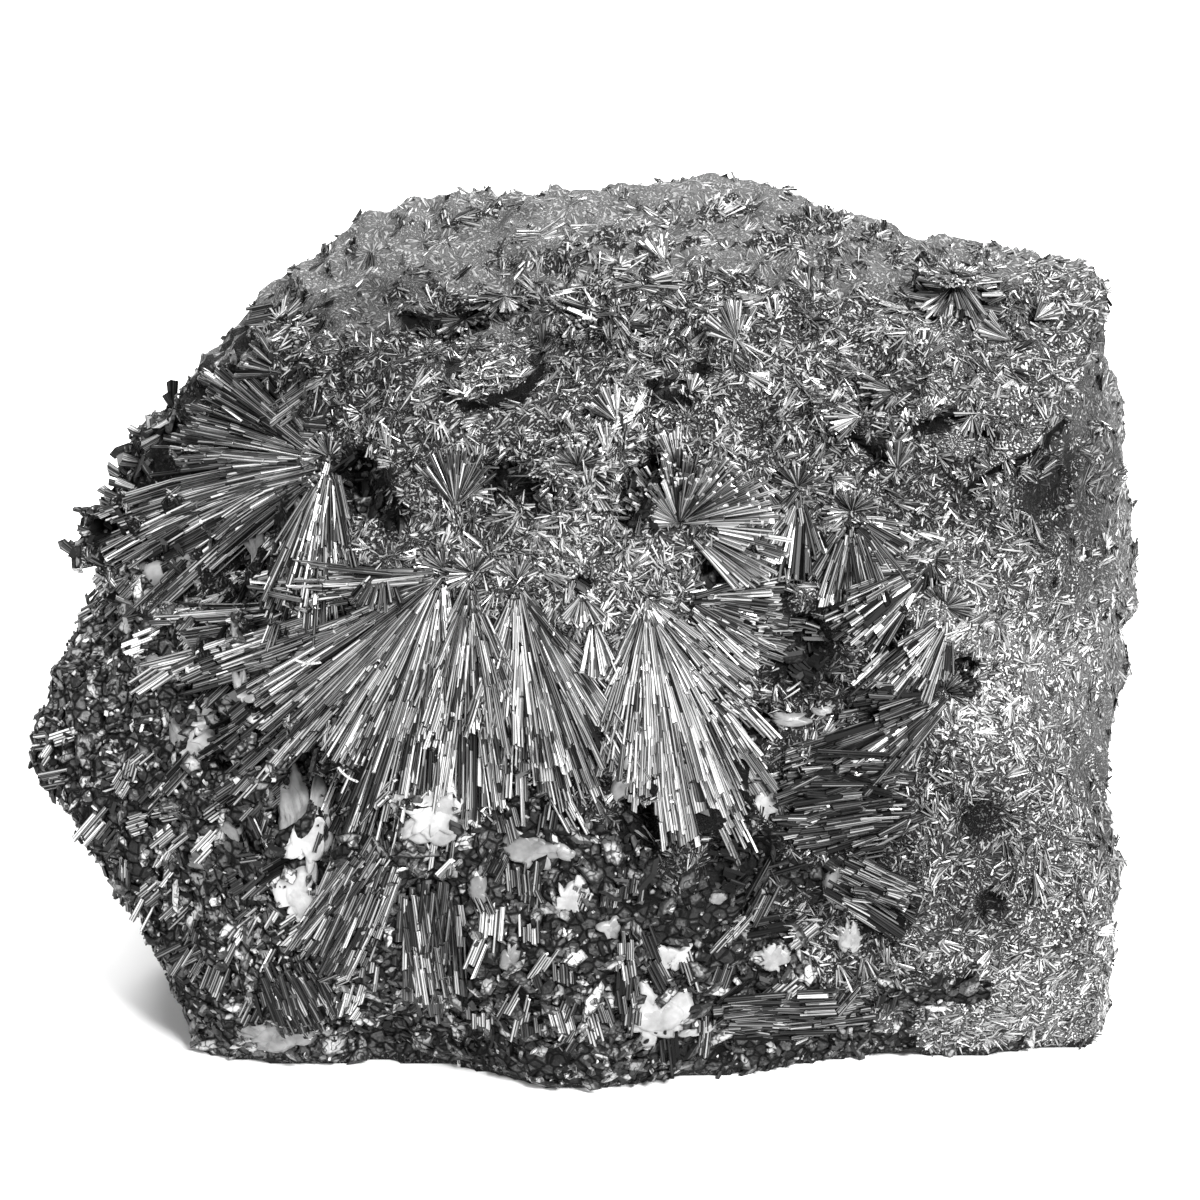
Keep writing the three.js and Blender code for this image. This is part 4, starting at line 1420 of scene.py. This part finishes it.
class Maker:
    """A new material with short ways to add nodes. A value is a number or a node's output."""

    def __init__(self, name):
        self.material = bpy.data.materials.new(name)
        self.material.use_nodes = True
        self.nodes = self.material.node_tree.nodes
        self.links = self.material.node_tree.links
        self.shader = self.nodes["Principled BSDF"]

    def put(self, socket, value):
        if isinstance(value, bpy.types.NodeSocket):
            self.links.new(value, socket)
        else:
            socket.default_value = value

    def math(self, operation, *values, kind="Math"):
        """The result of one operation on numbers."""
        node = self.nodes.new("ShaderNode" + kind)
        node.operation = operation
        for socket, value in zip(node.inputs, values):
            self.put(socket, value)
        return node.outputs[0]

    def vector_math(self, operation, *values):
        return self.math(operation, *values, kind="VectorMath")

    def plus(self, a, b):
        return self.math("ADD", a, b)

    def minus(self, a, b):
        return self.math("SUBTRACT", a, b)

    def times(self, a, b):
        return self.math("MULTIPLY", a, b)

    def over(self, a, b):
        return self.math("DIVIDE", a, b)

    def scaled(self, vector, size):
        return self.vector_math("MULTIPLY", vector, (size,) * 3)

    def combined(self, x, y):
        node = self.nodes.new("ShaderNodeCombineXYZ")
        self.put(node.inputs["X"], x)
        self.put(node.inputs["Y"], y)
        return node.outputs[0]

    def stored(self, name):
        """The number that the mesh holds for each face under that name."""
        node = self.nodes.new("ShaderNodeAttribute")
        node.attribute_name = name
        return node.outputs["Fac"]

    def streak_places(self):
        """Across and along from the streak map, and the shift that each needle has of its own."""
        place = self.nodes.new("ShaderNodeUVMap")
        place.uv_map = "streaks"
        parts = self.nodes.new("ShaderNodeSeparateXYZ")
        self.links.new(place.outputs["UV"], parts.inputs[0])
        across = self.math("FRACT", parts.outputs["X"])
        return across, parts.outputs["Y"], self.minus(parts.outputs["X"], across)

    def millimetres(self):
        place = self.nodes.new("ShaderNodeTexCoord")
        return self.scaled(place.outputs["Object"], 1 / MM)

    def noise(self, vector, scale, detail=2):
        """Noise from 0 to 1, with that many lumps to the unit."""
        node = self.nodes.new("ShaderNodeTexNoise")
        self.put(node.inputs["Vector"], vector)
        node.inputs["Scale"].default_value = scale
        node.inputs["Detail"].default_value = detail
        return node.outputs["Fac"]

    def white_noise(self, x, y=0.0):
        """One random number from 0 to 1 for each pair of values."""
        node = self.nodes.new("ShaderNodeTexWhiteNoise")
        node.noise_dimensions = "2D"
        self.put(node.inputs["Vector"], self.combined(x, y))
        return node.outputs["Value"]

    def cells(self, vector, scale, feature="F1"):
        node = self.nodes.new("ShaderNodeTexVoronoi")
        node.feature = feature
        self.put(node.inputs["Vector"], vector)
        node.inputs["Scale"].default_value = scale
        return node.outputs

    def ink(self, level, width, dark):
        """Thin dark lines where a level from 0 to 1 crosses its middle."""
        crossing = self.math("ABSOLUTE", self.minus(level, 0.5))
        return self.edge(crossing, width / 2, dark)

    def edge(self, away, width, dark):
        """Dark where a distance is nothing, and fading out at that width."""
        line = self.minus(1.0, self.over(away, width))
        return self.times(self.math("MAXIMUM", line, 0.0), -dark)

    def from_middle(self, value):
        """0 in the middle of a value from 0 to 1, and 1 at its two ends."""
        return self.math("ABSOLUTE", self.math("MULTIPLY_ADD", value, 2.0, -1.0))

    def centred(self, value, strength):
        """A value from 0 to 1 turned into one spread evenly about nothing."""
        return self.math("MULTIPLY_ADD", value, strength, -strength / 2)

    def colour(self, level, stops):
        """Paints the shader by a ramp of (level, grey)."""
        ramp = self.nodes.new("ShaderNodeValToRGB")
        elements = ramp.color_ramp.elements
        while len(elements) < len(stops):
            elements.new(0.5)
        for element, (place, grey) in zip(elements, stops):
            element.position = place
            element.color = (grey, grey, grey, 1)
        self.links.new(level, ramp.inputs["Fac"])
        self.links.new(ramp.outputs["Color"], self.shader.inputs["Base Color"])

    def bump(self, height, depth):
        """Relief from a level, with the depth of a step of 1 in millimetres."""
        node = self.nodes.new("ShaderNodeBump")
        node.inputs["Distance"].default_value = depth * MM
        self.put(node.inputs["Height"], height)
        self.links.new(node.outputs["Normal"], self.shader.inputs["Normal"])

    def finish(self, roughness, metallic=0.0, specular=0.5):
        self.shader.inputs["Roughness"].default_value = roughness
        self.shader.inputs["Specular IOR Level"].default_value = specular
        self.shader.inputs["Metallic"].default_value = metallic
        return self.material


# Streaks of a needle: strips side by side, each broken across into pieces, with how wide and long
# those are and how unevenly bright. The grain within them, with its lumps to a strip and to the
# millimetre. How dark the edges between the strips are, painted shade of the gaps between needles,
# and how sharp. What parts the strips and the starts of their pieces from needle to needle.
STREAKS = {
    "strip": 0.2, "piece": 3.6, "uneven": 0.3, "grain": 0.24, "grain_per_strip": 2.4,
    "grain_per_mm": 0.5, "edge": 0.85, "sharp": 4, "strips_apart": 7.0, "starts_apart": 9.0,
}
# Looks of the needles: brightness of the levels from 0 to 1, roughness, how metallic, highlights.
FAN_NEEDLES = {
    "ramp": [(0.0, 0.002), (0.3, 0.035), (0.6, 0.25), (0.85, 0.5), (1.0, 0.72)],
    "roughness": 0.38, "metallic": 0.55, "specular": 0.25,
}
FELT_NEEDLES = {
    "ramp": [(0.0, 0.002), (0.3, 0.04), (0.6, 0.28), (0.85, 0.52), (1.0, 0.72)],
    "roughness": 0.42, "metallic": 0.5, "specular": 0.25,
}


def needle_material(name, looks):
    """Steel-grey crystal in strips of uneven brightness, with thin dark lines of painted shade
    between them, for the gaps between needles.
    """
    make = Maker(name)
    across, along, shift = make.streak_places()
    strips = make.times(across, make.over(make.stored("wide"), STREAKS["strip"]))
    floor = make.math("FLOOR", strips)
    strip = make.plus(floor, make.times(shift, STREAKS["strips_apart"]))
    start = make.times(make.white_noise(strip), STREAKS["starts_apart"])
    piece = make.math("FLOOR", make.plus(make.over(along, STREAKS["piece"]), start))
    tone = make.stored("tone")
    level = make.plus(tone, make.centred(make.white_noise(strip, piece), STREAKS["uneven"]))
    grain_across = make.times(strips, STREAKS["grain_per_strip"])
    grain_along = make.math("MULTIPLY_ADD", along, STREAKS["grain_per_mm"], shift)
    grain = make.noise(make.combined(grain_across, grain_along), 1.0)
    level = make.plus(level, make.centred(grain, STREAKS["grain"]))
    # The dark lines at the edges of each face and between its strips are painted shade of the gaps
    # between needles.
    inner = make.from_middle(make.math("FRACT", strips))
    nearest = make.math("MAXIMUM", inner, make.from_middle(across))
    line = make.math("POWER", nearest, STREAKS["sharp"])
    make.colour(make.minus(level, make.times(line, STREAKS["edge"])), looks["ramp"])
    return make.finish(looks["roughness"], looks["metallic"], looks["specular"])


# How dark the painted shade on the outline of a chip is and how sharp, the lumps to the millimetre,
# width and darkness of the lines that part it into grains, and how uneven it is in between.
GRAINS = {
    "outline": 0.4, "sharp": 5.0, "per_mm": 1.5, "line": 0.12, "dark": 0.5, "uneven": 0.7,
    "ramp": [(0.0, 0.002), (0.4, 0.045), (0.7, 0.22), (1.0, 0.5)],
    "roughness": 0.5, "specular": 0.2,
}
# Fine unevenness of chips and bare stone: lumps to the millimetre, and finer and finer so often.
FINE = {"scale": 4.0, "detail": 3}


def chip_material():
    """Dull dark scales and crumbs, outlined with painted shade and parted into grains by thin dark
    lines.
    """
    make = Maker("chip_scales")
    across, along, _ = make.streak_places()
    # Painted shade on the rim and the sides of each chip.
    nearest = make.math("MAXIMUM", make.from_middle(across), make.from_middle(along))
    outline = make.times(make.math("POWER", nearest, GRAINS["sharp"]), -GRAINS["outline"])
    place = make.millimetres()
    lines = make.ink(make.noise(place, GRAINS["per_mm"], 1), GRAINS["line"], GRAINS["dark"])
    fine = make.centred(make.noise(place, **FINE), GRAINS["uneven"])
    level = make.plus(make.stored("tone"), make.plus(outline, lines))
    make.colour(make.plus(level, fine), GRAINS["ramp"])
    return make.finish(GRAINS["roughness"], specular=GRAINS["specular"])


# The felt of the bare skin: rosettes to the millimetre, how many flakes go round each, how they
# break on the way out, how far each rosette's pattern is from the next one's, how wide the dark
# lines between the flakes are, and how uneven and how dark.
FELT = {
    "rosettes": 0.5, "flakes": 5.0, "breaks": 0.8, "apart": 9.0, "line": 0.16, "uneven": 1.3,
    "dark": 0.5,
}
# Scales of the broken skin: how many to the millimetre, how uneven, their outline and how dark.
SCALES = {"per_mm": 1.1, "uneven": 0.5, "outline": 0.16, "dark": 0.5}
# The stone itself: how uneven its fine grain is, how deep its relief, and its looks.
STONE = {
    "uneven": 0.5, "bump": 0.2, "roughness": 0.7, "specular": 0.1,
    "ramp": [(0.0, 0.002), (0.35, 0.02), (0.6, 0.1), (0.8, 0.28), (1.0, 0.6)],
}


def felt_level(make, place):
    """Tiny rosettes of flakes with thin dark lines between."""
    rosette = make.cells(place, FELT["rosettes"])
    away = make.vector_math("SUBTRACT", place, rosette["Position"])
    way = make.scaled(make.vector_math("NORMALIZE", away), FELT["flakes"])
    way = make.vector_math("ADD", way, make.scaled(away, FELT["breaks"]))
    apart = make.scaled(rosette["Color"], FELT["apart"])
    flakes = make.noise(make.vector_math("ADD", way, apart), 1.0, 1)
    line = make.ink(flakes, FELT["line"], FELT["dark"])
    return make.plus(make.centred(flakes, FELT["uneven"]), line)


def scale_level(make, place):
    """Scales with dark outlines."""
    scale = make.cells(place, SCALES["per_mm"])["Color"]
    border = make.cells(place, SCALES["per_mm"], "DISTANCE_TO_EDGE")["Distance"]
    outline = make.edge(border, SCALES["outline"], SCALES["dark"])
    return make.plus(make.centred(scale, SCALES["uneven"]), outline)


def stone_material():
    """Dark massive pyrolusite: felted with tiny rosettes, or scaly where the block is broken."""
    make = Maker("massive_stone")
    place = make.millimetres()
    share = make.stored("scales")
    scales = make.times(scale_level(make, place), share)
    mixed = make.plus(scales, make.times(felt_level(make, place), make.minus(1.0, share)))
    relief = make.plus(mixed, make.centred(make.noise(place, **FINE), STONE["uneven"]))
    relief = make.times(relief, make.minus(1.0, make.stored("calm")))
    make.colour(make.plus(make.stored("tone"), relief), STONE["ramp"])
    make.bump(relief, STONE["bump"])
    return make.finish(STONE["roughness"], specular=STONE["specular"])


# Gangue: lumps to the millimetre of its clouds and stains, how strong they are, how deep the
# stains are, and its looks.
WHITE = {
    "clouds": 0.6, "cloudy": 0.8, "stains": 3.0, "stained": 0.2, "bump": 0.15, "roughness": 0.4,
    "ramp": [(0.15, 0.03), (0.45, 0.12), (0.75, 0.25), (1.0, 0.38)],
}


def gangue_material():
    """White to grey gangue, cloudy and with dull dark stains."""
    make = Maker("white_gangue_stone")
    place = make.millimetres()
    cloud = make.centred(make.noise(place, WHITE["clouds"]), WHITE["cloudy"])
    stain = make.centred(make.noise(place, WHITE["stains"]), WHITE["stained"])
    make.colour(make.plus(make.stored("tone"), make.plus(cloud, stain)), WHITE["ramp"])
    make.bump(stain, WHITE["bump"])
    return make.finish(WHITE["roughness"])


def floor_material():
    make = Maker("pale_floor")
    make.shader.inputs["Base Color"].default_value = (*FLOOR["colour"], 1)
    return make.finish(FLOOR["roughness"])


# ---------------------------------------------------------------- studio


def place_camera():
    lift = math.radians(CAMERA["elevation"])
    target = Vector(CAMERA["target"]) * MM
    back = Vector((0, -math.cos(lift), math.sin(lift)))
    camera = bpy.data.objects.new("camera", bpy.data.cameras.new("camera"))
    camera.location = target + back * CAMERA["distance"] * MM
    camera.rotation_euler = (math.pi / 2 - lift, 0, 0)
    camera.data.lens = CAMERA["lens"]
    camera.data.clip_start = 0.01
    bpy.context.scene.collection.objects.link(camera)
    bpy.context.scene.camera = camera


def place_lights():
    for name, light in LIGHTS.items():
        lamp = bpy.data.lights.new(name, "AREA")
        lamp.shape = "RECTANGLE"
        lamp.size, lamp.size_y = (s * MM for s in light["size"])
        lamp.energy = light["power"]
        holder = bpy.data.objects.new(name, lamp)
        holder.location = Vector(light["at"]) * MM
        aim = Vector(LIGHTS_AIM_AT) - Vector(light["at"])
        holder.rotation_euler = aim.to_track_quat("-Z", "Y").to_euler()
        bpy.context.scene.collection.objects.link(holder)
    world = bpy.data.worlds.new("studio")
    world.use_nodes = True
    background = world.node_tree.nodes["Background"]
    background.inputs["Color"].default_value = (1, 1, 1, 1)
    background.inputs["Strength"].default_value = SKY
    bpy.context.scene.world = world


def place_floor():
    corners = np.array([(-1, -1, 0), (1, -1, 0), (1, 1, 0), (-1, 1, 0)]) * FLOOR["reach"]
    mesh = mesh_from("floor", corners, np.array([(0, 1, 2, 3)]))
    mesh.materials.append(floor_material())
    floor = bpy.data.objects.new("floor", mesh)
    bpy.context.scene.collection.objects.link(floor)


# ---------------------------------------------------------------- the cluster

# How bright the bare skin is in each zone, under what grows there.
BARE = {
    "rim": 0.74, "upper": 0.52, "top": 0.62, "right": 0.62, "left": 0.46, "back": 0.58,
    "crumbly": 0.36,
}
# Where the bare skin is smoother and more even than elsewhere.
CALM = {"top": 0.55, "right": 0.5, "back": 0.4}
# Painted shade: how dark the bare skin is under a lying spray, so that the gaps between its needles
# read as shadow.
PAINTED_SHADE_UNDER_A_SPRAY = 0.12
# Crumbs lie in hollows that are darker than this.
CRUMBS_IN_A_HOLLOW = 0.4
# Share of a nest of gangue that is bare of chips.
BARE_OF_CHIPS = 0.85
# How bright the cut is on which the block rests.
CUT = 0.3


def grow_skin(skin, belongs, under):
    mesh = mesh_from("massive_skin", skin.corners, skin.faces)
    tones = np.full(len(skin.faces), CUT)
    for name, tone in BARE.items():
        tones[belongs[name]] = tone
    # Painted shade under the lying sprays.
    tones[under] = PAINTED_SHADE_UNDER_A_SPRAY
    # The painted shade of hollows and cracks, with the darker and brighter parts, darkens the skin.
    store(mesh, "tone", tones - darkness(skin.middles))
    store(mesh, "scales", belongs["crumbly"])
    store(mesh, "calm", sum(share * belongs[name] for name, share in CALM.items()))
    add_piece("massive_skin", mesh, stone_material(), ["massive_body"])


def grow_cluster():
    corners, normals, faces = melted()
    skin = Skin(roughened(corners, normals), faces)
    heights = {face: Height(skin, face) for face in FACES}
    belongs = zones(skin.middles, skin.normals)
    under = in_a_spray(skin.middles, skin.normals)
    grow_skin(skin, belongs, under)
    bright = needle_material("fan_needles", FAN_NEEDLES)
    felt = needle_material("felt_needles", FELT_NEEDLES)
    chip = chip_material()
    for name, spray in SPRAYS.items():
        grow_spray(name, spray, heights, bright)
    grow_small_fans(heights, bright)
    for name in DRUSE:
        grow_druse(name, skin, belongs[name] & ~under, felt)
    nests = on_a_nest(skin.middles[:, 0], skin.middles[:, 2], BARE_OF_CHIPS)
    hollow = hollowed(skin.middles)[1] > CRUMBS_IN_A_HOLLOW
    bare = (belongs["crumbly"] | belongs["left"] | hollow) & ~nests
    grow_chips(skin, bare, chip)
    grow_bundles(skin, bare, bright)
    white = gangue_material()
    grow_nests(heights, white)
    grow_lint(heights["front"], white)


place_camera()
place_lights()
place_floor()
bpy.context.scene.view_settings.view_transform = "Standard"
grow_cluster()
